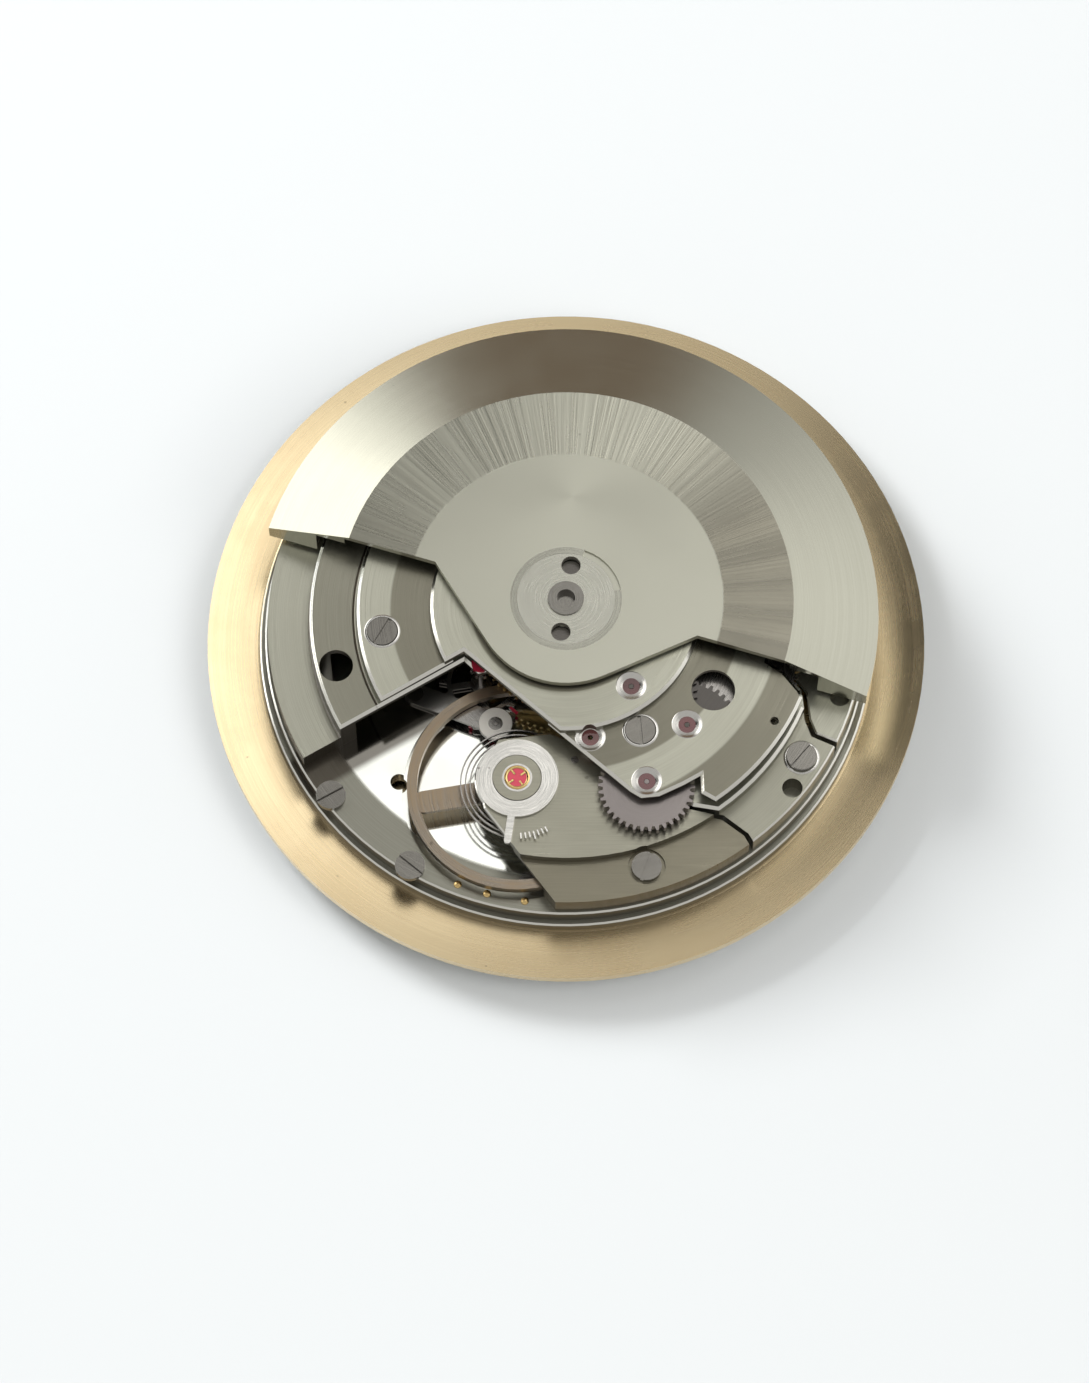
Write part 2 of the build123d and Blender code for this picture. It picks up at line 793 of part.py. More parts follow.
pinion_depth = 0.3
third_wheel_high = third_wheel_low + wheel_thickness
with BuildPart() as third_wheel:
    with BuildSketch(level(third_wheel_low)):
        toothed(third_place, third_teeth, third_module, third_phase)
        spoked(third_place, third_wheel_radius * rim_share, third_wheel_radius * hub_share, centre_spokes, 0)
        hole(third_place, arbor_radius)
    extrude(amount=wheel_thickness)
finish(third_wheel, "third_wheel")

with BuildPart() as third_arbor:
    with BuildSketch(level(plate_top - jewel_height)):
        disc(third_place, pivot_radius)
    extrude(amount=train_bridge_high - plate_top + jewel_height)
    with BuildSketch(level(plate_top + step_gap)):
        disc(third_place, arbor_radius)
    extrude(amount=train_jewel_low - plate_top - 2 * step_gap)
    with BuildSketch(level(third_wheel_low - pinion_depth)):
        toothed(third_place, third_pinion_teeth, centre_module, third_pinion_phase)
    extrude(amount=pinion_depth)
finish(third_arbor, "third_arbor")

fourth_collar = 0.25
fourth_wheel_high = fourth_wheel_low + wheel_thickness
with BuildPart() as fourth_wheel:
    with BuildSketch(level(fourth_wheel_low)):
        toothed(centre_place, fourth_teeth, fourth_module, fourth_phase)
        spoked(centre_place, fourth_wheel_radius * rim_share, fourth_wheel_radius * hub_share,
               fourth_spokes, fourth_spoke_angle)
        hole(centre_place, fourth_collar)
    extrude(amount=wheel_thickness)
finish(fourth_wheel, "fourth_wheel")

with BuildPart() as fourth_arbor:
    with BuildSketch(level(-dial_seat)):
        Circle(seconds_radius)
    extrude(amount=dial_seat + fourth_wheel_high)
    with BuildSketch(level(-dial_thickness - cannon_proud - seat_step)):
        Circle(seconds_collar)
    extrude(amount=seconds_collar_length)
    with BuildSketch(level(third_wheel_low - step_gap)):
        toothed(centre_place, fourth_pinion_teeth, third_module, fourth_pinion_phase)
    extrude(amount=wheel_thickness + 2 * step_gap)
    with BuildSketch(level(third_wheel_high + step_gap)):
        Circle(fourth_collar)
    extrude(amount=train_jewel_low - third_wheel_high - 2 * step_gap)
    with BuildSketch(level(fourth_wheel_low)):
        Circle(pivot_radius)
    extrude(amount=train_bridge_high - fourth_wheel_low)
finish(fourth_arbor, "fourth_arbor")

# Escapement
escape_high = escape_low + escape_height
escape_arbor_radius = 0.13
escape_rim_share = 0.72
escape_hub_share = 0.26
escape_tooth_shares = ((-0.16, 0.82), (0.08, 1), (0.2, 1), (0.3, 0.82))
fork_line = bearing(escape_place, fork_place)
stone_spread = 30
fork_arm_width = 0.26
fork_horn_radius = 0.36
stone_length = 0.42
stone_width = 0.13
stone_reach = 0.12
tooth_stagger = 0.14
escape_spokes = 4
escape_spoke_angle = 10
escape_phase = fork_line + stone_spread + 360 / escape_teeth / 4

with BuildPart() as escape_wheel:
    with BuildSketch(level(escape_low)):
        escape_points = []
        for tooth in range(escape_teeth):
            for turn, share in escape_tooth_shares:
                angle = escape_phase + (tooth + turn - tooth_stagger) * 360 / escape_teeth
                escape_points.append(polar(escape_radius * share, angle, escape_place))
        Polygon(*escape_points, align=None)
        spoked(escape_place, escape_radius * escape_rim_share, escape_radius * escape_hub_share,
               escape_spokes, escape_spoke_angle)
        hole(escape_place, escape_arbor_radius)
    extrude(amount=escape_height)
finish(escape_wheel, "escape_wheel")

with BuildPart() as escape_arbor:
    with BuildSketch(level(escape_floor - jewel_height)):
        disc(escape_place, pivot_radius)
    extrude(amount=train_bridge_high - escape_floor + jewel_height)
    with BuildSketch(level(escape_floor + step_gap)):
        disc(escape_place, escape_arbor_radius)
    extrude(amount=train_jewel_low - escape_floor - 2 * step_gap)
    with BuildSketch(level(fourth_wheel_low - step_gap)):
        toothed(escape_place, escape_pinion_teeth, fourth_module, escape_pinion_phase)
    extrude(amount=wheel_thickness + 2 * step_gap)
finish(escape_arbor, "escape_arbor")

stone_places = [polar(escape_radius + stone_length / 2 - stone_reach, fork_line + side * stone_spread,
                      escape_place) for side in (-1, 1)]
arm_distance = escape_radius + stone_length / 2
arm_turn = stone_spread - degrees((stone_width + fork_arm_width) / 2 / arm_distance)
arm_places = [polar(arm_distance, fork_line + side * arm_turn, escape_place) for side in (-1, 1)]
stone_angles = [fork_line + side * stone_spread for side in (-1, 1)]
balance_line = bearing(fork_place, balance_place)
pin_distance = 0.8
pin_radius = 0.09
fork_slot_width = 0.26
fork_reach = gap(fork_place, balance_place) - pin_distance
fork_tip = polar(fork_reach, balance_line, fork_place)
fork_arbor_radius = 0.15
pallet_bridge_low = 1.25
pallet_bridge_high = 1.42
pallet_bridge_radius = 0.72
pallet_foot_distance = 3.6
pallet_foot_angle = 158
pallet_foot_place = polar(pallet_foot_distance, pallet_foot_angle, fork_place)


def stones():
    """The outlines of the two pallet stones, in the current sketch."""
    for place, angle in zip(stone_places, stone_angles):
        with Locations(Location((place[0], place[1], 0), (0, 0, angle))):
            Rectangle(stone_length, stone_width)


with BuildPart() as pallet_fork:
    with BuildSketch(level(escape_low)):
        for place in arm_places:
            bar(fork_place, place, fork_arm_width)
        bar(fork_place, fork_tip, fork_arm_width)
        disc(fork_tip, fork_horn_radius)
        disc(fork_place, fork_arm_width)
        hole(fork_place, fork_arbor_radius)
    extrude(amount=escape_height)
    with BuildSketch(level(escape_low)):
        stones()
        pin_place = polar(-pin_distance, balance_line, balance_place)
        bar(pin_place, polar(pin_distance, balance_line, pin_place), fork_slot_width)
        disc(escape_place, escape_radius + running)
    extrude(amount=escape_height, mode=Mode.SUBTRACT)
    with BuildSketch(level(balance_floor + step_gap)):
        disc(fork_place, fork_arbor_radius)
    extrude(amount=pallet_bridge_low - balance_floor - 2 * step_gap)
    with BuildSketch(level(balance_floor - jewel_height)):
        disc(fork_place, pivot_radius)
    extrude(amount=pallet_bridge_high - balance_floor + jewel_height)
finish(pallet_fork, "pallet_fork")

with BuildPart() as pallet_stones:
    with BuildSketch(level(escape_low)):
        stones()
    extrude(amount=escape_height)
finish(pallet_stones, "pallet_stones")

pallet_bar_width = 0.9
pallet_screw_radius = 0.35
with BuildPart() as pallet_bridge:
    with BuildSketch(level(pallet_bridge_low)):
        disc(fork_place, pallet_bridge_radius)
        bar(fork_place, pallet_foot_place, pallet_bar_width)
        hole(fork_place, jewel_hole)
        hole(pallet_foot_place, pallet_screw_radius)
    extrude(amount=pallet_bridge_high - pallet_bridge_low)
    with BuildSketch(level(plate_top)):
        disc(pallet_foot_place, pallet_bar_width / 2)
        hole(pallet_foot_place, pallet_screw_radius)
    extrude(amount=pallet_bridge_low - plate_top)
finish(pallet_bridge, "pallet_bridge")

# Balance
balance_rim_width = 0.42
balance_arm_width = 0.95
balance_hub_radius = 0.8
balance_arm_angle = 190
balance_arm_reach = balance_radius - balance_rim_width - balance_arm_width / 4
balance_arm_height = balance_rim_height / 2
balance_arm_low = balance_low + balance_arm_height / 2
staff_radius = 0.35
staff_top = cock_low - step_gap
roller_low = 0.82
roller_height = 0.12
roller_radius = 1.0
collet_radius = 0.45

with BuildPart() as balance_wheel:
    with BuildSketch(level(balance_low)):
        disc(balance_place, balance_radius)
        hole(balance_place, balance_radius - balance_rim_width)
    extrude(amount=balance_rim_height)
    with BuildSketch(level(balance_arm_low)):
        tips = [polar(balance_arm_reach, balance_arm_angle + turn, balance_place) for turn in (0, 180)]
        bar(tips[0], tips[1], balance_arm_width)
        disc(balance_place, balance_hub_radius)
        hole(balance_place, staff_radius)
    extrude(amount=balance_arm_height)
finish(balance_wheel, "balance_wheel")

with BuildPart() as balance_staff:
    with BuildSketch(level(roller_low)):
        disc(balance_place, staff_radius)
    extrude(amount=staff_top - roller_low)
    with BuildSketch(level(roller_low)):
        disc(balance_place, roller_radius)
    extrude(amount=roller_height)
    with BuildSketch(level(hairspring_low - step_gap)):
        disc(balance_place, collet_radius)
    extrude(amount=hairspring_height + 2 * step_gap)
    with BuildSketch(level(balance_floor - jewel_height)):
        disc(balance_place, pivot_radius)
    extrude(amount=cock_high - balance_floor + jewel_height)
finish(balance_staff, "balance_staff")

with BuildPart() as roller_jewel:
    with BuildSketch(level(roller_low + roller_height)):
        disc(pin_place, pin_radius)
    extrude(amount=escape_high - roller_low - roller_height)
finish(roller_jewel, "roller_jewel")

stud_angle = 20
stud_radius = 0.16
hairspring_thickness = 0.05
hairspring_pitch = 0.2
hairspring_turns = 10
hairspring_inner = collet_radius + running + hairspring_thickness
with BuildPart() as hairspring:
    with BuildSketch(level(hairspring_low)):
        spiral(balance_place, hairspring_inner, hairspring_pitch, hairspring_turns, hairspring_thickness,
               stud_angle)
    extrude(amount=hairspring_height)
finish(hairspring, "hairspring")

stud_place = polar(hairspring_inner + hairspring_turns * hairspring_pitch, stud_angle, balance_place)
with BuildPart() as hairspring_stud:
    with BuildSketch(level(hairspring_low)):
        disc(stud_place, stud_radius)
    extrude(amount=hairspring_height)
    with BuildSketch(level(hairspring_low + hairspring_height)):
        disc(stud_place, stud_radius)
    extrude(amount=cock_high - hairspring_low - hairspring_height)
finish(hairspring_stud, "hairspring_stud")

# Balance cock, over the lower edge of the movement
step_radius = 10.62
cock_outer_radius = 12.4
cock_ring_radius = 1.75
cock_left_share = (-0.004, -1.008)
cock_left_end = shared([cock_left_share])[0]
cock_right_shares = ((0.398, -0.664), (0.5, -0.688), (0.57, -0.742), (0.613, -0.82), (0.69, -0.92))
cock_shares = ((-0.262, -0.66), (-0.29, -0.55), (-0.22, -0.42), (-0.05, -0.4), (0.12, -0.47), (0.3, -0.62))
cock_foot_inner = 9.9
foot_cover_inner = 10.3
foot_cover_low = balance_low + balance_rim_height + side_gap
shock_radius = 0.62
shock_bore = 0.42

regulator_low = cock_high + step_gap / 2
regulator_height = 0.14
regulator_radius = 1.7
regulator_bore = 1.02
regulator_angle = 262
regulator_reach = 2.75
regulator_width = 0.3

with BuildPart() as balance_cock:
    with BuildSketch(level(cock_low)):
        Polygon(*shared(cock_shares), *shared(cock_right_shares), cock_left_end, align=None)
        disc(balance_place, cock_ring_radius)
        Circle(step_radius, mode=Mode.INTERSECT)
    extrude(amount=cock_high - cock_low)
    chamfer(top_rim(balance_cock), length=rim_chamfer)
    with BuildSketch(level(plate_top)):
        Polygon(*shared(cock_shares), *shared(cock_right_shares), cock_left_end, align=None)
        Circle(cock_outer_radius, mode=Mode.INTERSECT)
        Circle(cock_foot_inner, mode=Mode.SUBTRACT)
        hole(balance_place, balance_radius + wide_gap)
    extrude(amount=foot_top - plate_top)
    with BuildSketch(level(foot_cover_low)):
        Polygon(*shared(cock_shares), *shared(cock_right_shares), cock_left_end, align=None)
        Circle(cock_outer_radius, mode=Mode.INTERSECT)
        Circle(foot_cover_inner, mode=Mode.SUBTRACT)
    extrude(amount=foot_top - foot_cover_low)
    with BuildSketch(level(foot_top)):
        Polygon(*shared(cock_shares), *shared(cock_right_shares), cock_left_end, align=None)
        Circle(step_radius, mode=Mode.INTERSECT)
        Circle(cock_foot_inner, mode=Mode.SUBTRACT)
    extrude(amount=cock_high - foot_top)
    with BuildSketch(level(cock_high)):
        disc(balance_place, regulator_bore - running)
    extrude(amount=regulator_height + step_gap)
    with BuildSketch(level(plate_top)):
        disc(balance_place, shock_radius)
        disc(stud_place, stud_radius)
        disc(cock_screw_place, shank_hole_radius)
    extrude(amount=cock_high, mode=Mode.SUBTRACT)
    with BuildSketch(level(foot_top - screw_head_height / 2)):
        disc(cock_screw_place, screw_head_radius + wide_gap)
    extrude(amount=cock_high, mode=Mode.SUBTRACT)
finish(balance_cock, "balance_cock")

shock_sink = 0.28
shock_rise = 0.2
shock_low = cock_high - shock_sink
shock_high = cock_high + shock_rise
with BuildPart() as shock_setting:
    with BuildSketch(level(shock_low)):
        disc(balance_place, shock_radius)
        hole(balance_place, shock_bore)
    extrude(amount=shock_high - shock_low)
finish(shock_setting, "shock_setting")

with BuildPart() as shock_jewel:
    with BuildSketch(level(cock_high + step_gap)):
        disc(balance_place, shock_bore)
    extrude(amount=shock_high - cock_high - step_gap)
    with BuildSketch(level(shock_low)):
        disc(balance_place, shock_bore)
        hole(balance_place, jewel_hole)
    extrude(amount=cock_high + step_gap - shock_low)
finish(shock_jewel, "shock_jewel")

with BuildPart() as regulator:
    with BuildSketch(level(regulator_low)):
        disc(balance_place, regulator_radius)
        bar(balance_place, polar(regulator_reach, regulator_angle, balance_place), regulator_width)
        hole(balance_place, regulator_bore)
    extrude(amount=regulator_height)
finish(regulator, "regulator")

# Barrel bridge, on the right
third_clear = third_wheel_radius + third_module + wide_gap
centre_clear = 4.15
crown_core_radius = 0.7
crown_bore = crown_core_radius + running
crown_low = winding_tip + stem_height - step_gap
crown_tip_radius = auto_module * (crown_teeth / 2 + tip_share)
crown_pocket_low = crown_low - side_gap
bridge_edge_radius = 12.4
barrel_bridge_shares = (
    (0.06, -0.3), (0.12, -0.42), (0.27, -0.57), (0.405, -0.655), (0.505, -0.672), (0.585, -0.735),
    (0.63, -0.815), (0.72, -0.96), (1.2, -0.7), (1.2, -0.65), (0.888, -0.445), (0.79, -0.4), (0.77, -0.345),
    (0.76, -0.255), (0.71, -0.2), (0.9, 0.1), (1.2, 0.3), (0.9, 1.1), (0.2, 1.2), (0.05, 0.3))
slot_low_end = sliding_inner - sliding_travel - side_gap
bridge_hole_share = (0.727, -0.578)
bridge_hole_place = shared([bridge_hole_share])[0]
bridge_hole_radius = 0.42
click_reach = 0.62
click_angle = 62
click_place = polar(auto_module * ratchet_teeth / 2 + click_reach, click_angle, barrel_place)
click_post_radius = 0.25

with BuildPart() as barrel_bridge:
    with BuildSketch(level(barrel_bridge_low)):
        Polygon(*shared(barrel_bridge_shares), align=None)
        Circle(bridge_edge_radius, mode=Mode.INTERSECT)
        Circle(centre_clear, mode=Mode.SUBTRACT)
        hole(third_place, third_clear)
        stem_block(slot_low_end, slot_outer, slot_half_width)
    extrude(amount=foot_top - barrel_bridge_low)
    chamfer(widest_arcs(barrel_bridge), length=rim_chamfer)
    with BuildSketch(level(foot_top)):
        Polygon(*shared(barrel_bridge_shares), align=None)
        Circle(step_radius, mode=Mode.INTERSECT)
        Circle(centre_clear, mode=Mode.SUBTRACT)
        hole(third_place, third_clear)
    extrude(amount=barrel_bridge_high - foot_top)
    chamfer(top_rim(barrel_bridge), length=bridge_chamfer)
    with BuildSketch(level(plate_top)):
        Polygon(*shared(barrel_bridge_shares), align=None)
        Circle(bridge_edge_radius, mode=Mode.INTERSECT)
        Circle(cock_foot_inner, mode=Mode.SUBTRACT)
        hole(barrel_place, barrel_pocket_radius)
        with Locations(Location((0, 0, 0), (0, 0, stem_angle))):
            with Locations((plate_radius, 0)):
                Rectangle(plate_radius, 2 * boss_half_width + wide_gap, mode=Mode.SUBTRACT)
    extrude(amount=barrel_bridge_low - plate_top)
    with BuildSketch(level(0)):
        stem_block(slot_low_end, slot_outer, slot_half_width)
        disc(barrel_place, drum_bore)
        for place in barrel_screw_places:
            disc(place, shank_hole_radius)
        disc(bridge_hole_place, bridge_hole_radius)
    extrude(amount=barrel_bridge_high, mode=Mode.SUBTRACT)
    with BuildSketch(level(crown_pocket_low)):
        disc(crown_wheel_place, crown_tip_radius + wide_gap)
        hole(crown_wheel_place, crown_core_radius)
    extrude(amount=barrel_bridge_high, mode=Mode.SUBTRACT)
    with BuildSketch(level(barrel_bridge_high)):
        disc(crown_wheel_place, crown_core_radius)
        disc(click_place, click_post_radius)
    extrude(amount=ratchet_high - barrel_bridge_high)
finish(barrel_bridge, "barrel_bridge")

# Side plate, at the right edge of the barrel bridge
side_plate_shares = (
    (1.2, -0.63), (0.895, -0.428), (0.804, -0.388), (0.786, -0.34), (0.776, -0.25), (0.735, -0.19),
    (0.925, 0.08), (1.2, 0.24))
side_foot_inner = 11.0
side_hole_share = (0.885, -0.262)
side_hole_place = shared([side_hole_share])[0]
side_hole_radius = 0.42
with BuildPart() as side_plate:
    with BuildSketch(level(barrel_bridge_low)):
        Polygon(*shared(side_plate_shares), align=None)
        Circle(bridge_edge_radius, mode=Mode.INTERSECT)
    extrude(amount=foot_top - barrel_bridge_low)
    chamfer(top_rim(side_plate), length=rim_chamfer)
    with BuildSketch(level(plate_top)):
        Polygon(*shared(side_plate_shares), align=None)
        Circle(bridge_edge_radius, mode=Mode.INTERSECT)
        Circle(side_foot_inner, mode=Mode.SUBTRACT)
        hole(barrel_place, barrel_pocket_radius)
    extrude(amount=barrel_bridge_low - plate_top)
    with BuildSketch(level(plate_top + cut_overrun)):
        disc(side_hole_place, side_hole_radius)
    extrude(amount=foot_top, mode=Mode.SUBTRACT)
finish(side_plate, "side_plate")

# Winding wheels on the barrel bridge
with BuildPart() as ratchet_wheel:
    with BuildSketch(level(ratchet_low)):
        toothed(barrel_place, ratchet_teeth, auto_module, ratchet_phase)
        hole(barrel_place, arbor_bore)
    extrude(amount=ratchet_high - ratchet_low)
finish(ratchet_wheel, "ratchet_wheel")

with BuildPart() as ratchet_screw:
    with BuildSketch(level(ratchet_high)):
        disc(barrel_place, screw_head_radius)
    extrude(amount=ratchet_screw_head)
    with BuildSketch(level(ratchet_low)):
        disc(barrel_place, screw_shank_radius)
    extrude(amount=ratchet_high - ratchet_low)
    with BuildSketch(level(ratchet_high + ratchet_screw_head - slot_depth)):
        with Locations(barrel_place):
            Rectangle(4 * screw_head_radius, slot_width)
    extrude(amount=slot_depth, mode=Mode.SUBTRACT)
finish(ratchet_screw, "ratchet_screw")

with BuildPart() as crown_wheel:
    with BuildSketch(level(crown_low)):
        toothed(crown_wheel_place, crown_teeth, auto_module, crown_phase)
        hole(crown_wheel_place, crown_bore)
    extrude(amount=ratchet_high - crown_low)
finish(crown_wheel, "crown_wheel")

click_width = 0.36
ratchet_tip = auto_module * (ratchet_teeth / 2 + tip_share)
click_bearing = bearing(barrel_place, click_place)
click_tip_turn = -13
click_tail_turn = 8
click_tip = polar(ratchet_tip + click_width / 2 + step_gap, click_bearing + click_tip_turn, barrel_place)
click_tail = polar(ratchet_tip + 2 * click_width + step_gap, click_bearing + click_tail_turn, barrel_place)
with BuildPart() as click:
    with BuildSketch(level(ratchet_low)):
        bar(click_place, click_tip, click_width)
        bar(click_place, click_tail, click_width)
        disc(click_place, click_post_radius + click_width / 2)
        hole(click_place, click_post_radius + running)
    extrude(amount=ratchet_high - ratchet_low)
finish(click, "click")

click_spring_width = 0.12
click_spring_turns = (-9, 7)
click_spring_reaches = (1.3, 0.4)
click_spring_foot = polar(
    gap(barrel_place, click_place) + click_spring_reaches[0], click_bearing + click_spring_turns[0], barrel_place)
click_spring_tip = polar(
    gap(barrel_place, click_tail) + click_spring_reaches[1], click_bearing + click_spring_turns[1], barrel_place)
with BuildPart() as click_spring:
    with BuildSketch(level(barrel_bridge_high)):
        bar(click_spring_foot, click_spring_tip, click_spring_width)
        disc(click_spring_foot, click_post_radius)
    extrude(amount=ratchet_high - barrel_bridge_high)
finish(click_spring, "click_spring")

# Train bridge, on the left
train_hub_radius = 1.2
train_bridge_shares = (
    (-0.005, 0.08), (-0.005, 1.2), (-1.2, 1.2), (-1.3, -0.747), (-0.328, -0.166), (-0.283, -0.21),
    (-0.2, -0.19), (-0.03, -0.085))
train_hole_share = (-0.741, -0.186)
train_hole_place = shared([train_hole_share])[0]
train_hole_radius = 0.7
auto_screw_shares = ((-0.592, -0.084), (0.07, 0.6))
auto_screw_places = shared(auto_screw_shares)
with BuildPart() as train_bridge:
    with BuildSketch(level(train_bridge_low)):
        Polygon(*shared(train_bridge_shares), align=None)
        Circle(step_radius, mode=Mode.INTERSECT)
        Circle(train_hub_radius)
    extrude(amount=train_bridge_high - train_bridge_low)
    chamfer(top_rim(train_bridge), length=bridge_chamfer)
    with BuildSketch(level(plate_top)):
        Polygon(*shared(train_bridge_shares), align=None)
        Circle(step_radius, mode=Mode.INTERSECT)
        Circle(cock_foot_inner, mode=Mode.SUBTRACT)
    extrude(amount=train_bridge_low - plate_top)
    with BuildSketch(level(plate_top)):
        Polygon(*shared(train_bridge_shares), align=None)
        Circle(bridge_edge_radius, mode=Mode.INTERSECT)
        Circle(cock_foot_inner, mode=Mode.SUBTRACT)
    extrude(amount=foot_top - plate_top)
    with BuildSketch(level(plate_top)):
        disc(train_hole_place, train_hole_radius)
    extrude(amount=train_bridge_high, mode=Mode.SUBTRACT)
    with BuildSketch(level(plate_top)):
        for place in (centre_place, third_place, escape_place):
            disc(place, jewel_radius)
        for place in train_screw_places + auto_screw_places:
            disc(place, shank_hole_radius)
    extrude(amount=train_bridge_high, mode=Mode.SUBTRACT)
finish(train_bridge, "train_bridge")

with BuildPart() as train_jewels:
    with BuildSketch(level(train_jewel_low)):
        jewel_rings([centre_place, third_place, escape_place])
    extrude(amount=jewel_height)
finish(train_jewels, "train_jewels")

# Automatic bridge, above the barrel and the train
auto_radius = 8.65
auto_lobe_radius = 10.5
auto_dome_radius = 5.6
auto_dome_recess_radius = 5.2
auto_dome_recess_high = 3.85
bearing_outer_radius = 1.85
bearing_high = 4.3
sink_radius = 0.58
sink_depth = 0.07
lobe_shares = (
    (0, 0), (0.6, -0.155), (0.7, -0.226), (0.75, -0.29), (0.775, -0.345), (1.0, -0.5), (0.6, -0.83), (0.2, -0.9))
notch_shares = (
    (-0.328, -0.164), (0.205, -0.634), (0.24, -0.656), (0.297, -0.65), (0.375, -0.612),
    (0.43, -0.58), (0.432, -0.64), (0.5, -0.68), (0.56, -0.8), (-0.4, -1.0), (-1.0, -0.568))
spare_sink_share = (0.078, -0.45)
spare_sink_place = shared([spare_sink_share])[0]
auto_hole_share = (0.473, -0.289)
auto_hole_place = shared([auto_hole_share])[0]
auto_hole_radius = 0.9
auto_flat_share = (0.238, -0.427)
auto_flat_place = shared([auto_flat_share])[0]
auto_pin_share = (0.668, -0.395)
auto_pin_place = shared([auto_pin_share])[0]
auto_pin_radius = 0.18
auto_low_jewels = [second_place, reduction_place, spare_sink_place]
with BuildPart() as auto_bridge:
    with BuildSketch(level(auto_bridge_low)):
        Polygon(*shared(lobe_shares), align=None)
        Circle(auto_lobe_radius, mode=Mode.INTERSECT)
        Circle(auto_radius)
        Polygon(*shared(notch_shares), align=None, mode=Mode.SUBTRACT)
    extrude(amount=auto_bridge_high - auto_bridge_low)
    chamfer(top_rim(auto_bridge), length=bridge_chamfer)
    with BuildSketch(level(auto_bridge_high)):
        Circle(auto_dome_radius)
        Polygon(*shared(notch_shares), align=None, mode=Mode.SUBTRACT)
    extrude(amount=auto_dome_high - auto_bridge_high)
    chamfer(top_rim(auto_bridge), length=bridge_chamfer)
    with BuildSketch(level(auto_bridge_low)):
        Circle(auto_dome_recess_radius)
    extrude(amount=auto_dome_recess_high - auto_bridge_low, mode=Mode.SUBTRACT)
    with BuildSketch(level(auto_bridge_low)):
        Circle(bearing_outer_radius)
        for place in auto_low_jewels + [first_place]:
            disc(place, jewel_radius)
        for place in auto_screw_places + [auto_flat_place]:
            disc(place, shank_hole_radius)
        disc(auto_hole_place, auto_hole_radius)
        disc(auto_pin_place, auto_pin_radius)
    extrude(amount=auto_dome_high, mode=Mode.SUBTRACT)
    with BuildSketch(level(auto_bridge_high - sink_depth)):
        for place in auto_low_jewels:
            disc(place, sink_radius)
    extrude(amount=sink_depth, mode=Mode.SUBTRACT)
    with BuildSketch(level(auto_bridge_high - screw_head_height / 2)):
        for place in auto_screw_places + [auto_flat_place]:
            disc(place, screw_head_radius + running)
    extrude(amount=screw_head_height, mode=Mode.SUBTRACT)
    with BuildSketch(level(auto_dome_high - sink_depth)):
        disc(first_place, sink_radius)
    extrude(amount=sink_depth, mode=Mode.SUBTRACT)
finish(auto_bridge, "auto_bridge")

low_jewel_base = auto_bridge_high - sink_depth - jewel_height
high_jewel_base = auto_dome_high - sink_depth - jewel_height
with BuildPart() as auto_jewels:
    with BuildSketch(level(low_jewel_base)):
        jewel_rings(auto_low_jewels)
    extrude(amount=jewel_height)
    with BuildSketch(level(high_jewel_base)):
        jewel_rings([first_place])
    extrude(amount=jewel_height)
finish(auto_jewels, "auto_jewels")

# Automatic wheels under their bridge
with BuildPart() as first_reverser:
    with BuildSketch(level(first_wheel_low)):
        toothed(first_place, first_wheel_teeth, auto_module, first_phase)
    extrude(amount=first_wheel_high - first_wheel_low)
    with BuildSketch(level(second_wheel_low)):
        toothed(first_place, first_pinion_teeth, first_pinion_module, first_pinion_phase)
    extrude(amount=first_wheel_low - second_wheel_low)
    with BuildSketch(level(first_wheel_high)):
        disc(first_place, arbor_radius)
    extrude(amount=high_jewel_base - first_wheel_high - step_gap)
    with BuildSketch(level(first_wheel_high)):
        disc(first_place, pivot_radius)
    extrude(amount=auto_dome_high - sink_depth - first_wheel_high)
finish(first_reverser, "first_reverser")

with BuildPart() as second_reverser:
    with BuildSketch(level(second_wheel_low)):
        toothed(second_place, second_wheel_teeth, first_pinion_module, second_phase)
    extrude(amount=second_wheel_high - second_wheel_low)
    with BuildSketch(level(second_pinion_low)):
        toothed(second_place, second_pinion_teeth, auto_module, second_pinion_phase)
    extrude(amount=reduction_high - second_pinion_low)
    with BuildSketch(level(reduction_high)):
        disc(second_place, 2 * arbor_radius)
    extrude(amount=second_wheel_low - reduction_high)
    with BuildSketch(level(second_wheel_high)):
        disc(second_place, arbor_radius)
    extrude(amount=low_jewel_base - second_wheel_high - step_gap)
    with BuildSketch(level(second_wheel_high)):
        disc(second_place, pivot_radius)
    extrude(amount=auto_bridge_high - sink_depth - second_wheel_high)
finish(second_reverser, "second_reverser")

with BuildPart() as reduction_wheel:
    with BuildSketch(level(ratchet_low)):
        toothed(reduction_place, reduction_teeth, auto_module, reduction_phase)
    extrude(amount=reduction_high - ratchet_low)
    with BuildSketch(level(reduction_high)):
        disc(reduction_place, arbor_radius)
    extrude(amount=low_jewel_base - reduction_high - step_gap)
    with BuildSketch(level(reduction_high)):
        disc(reduction_place, pivot_radius)
    extrude(amount=auto_bridge_high - sink_depth - reduction_high)
finish(reduction_wheel, "reduction_wheel")

# Rotor: half disc with a heavy rim, on a hub that turns in its bearing
clip_width = 0.28
clip_inner_radius = hub_radius - clip_width
hub_disc_radius = clip_inner_radius
clip_depth = 0.1
clip_turn = 300
hub_bore = 0.38
hub_tube_bore = 0.55
hub_eye_radius = 0.4
hub_eye_distance = 1.5
hub_eye_angle = 82
centre_screw_radius = 0.75
centre_screw_depth = 0.15
centre_screw_rise = 0.08
weight_shelf_high = 3.95
weight_shelf_step = 0.22
weight_shelf_inner = rotor_land_radius + weight_shelf_step

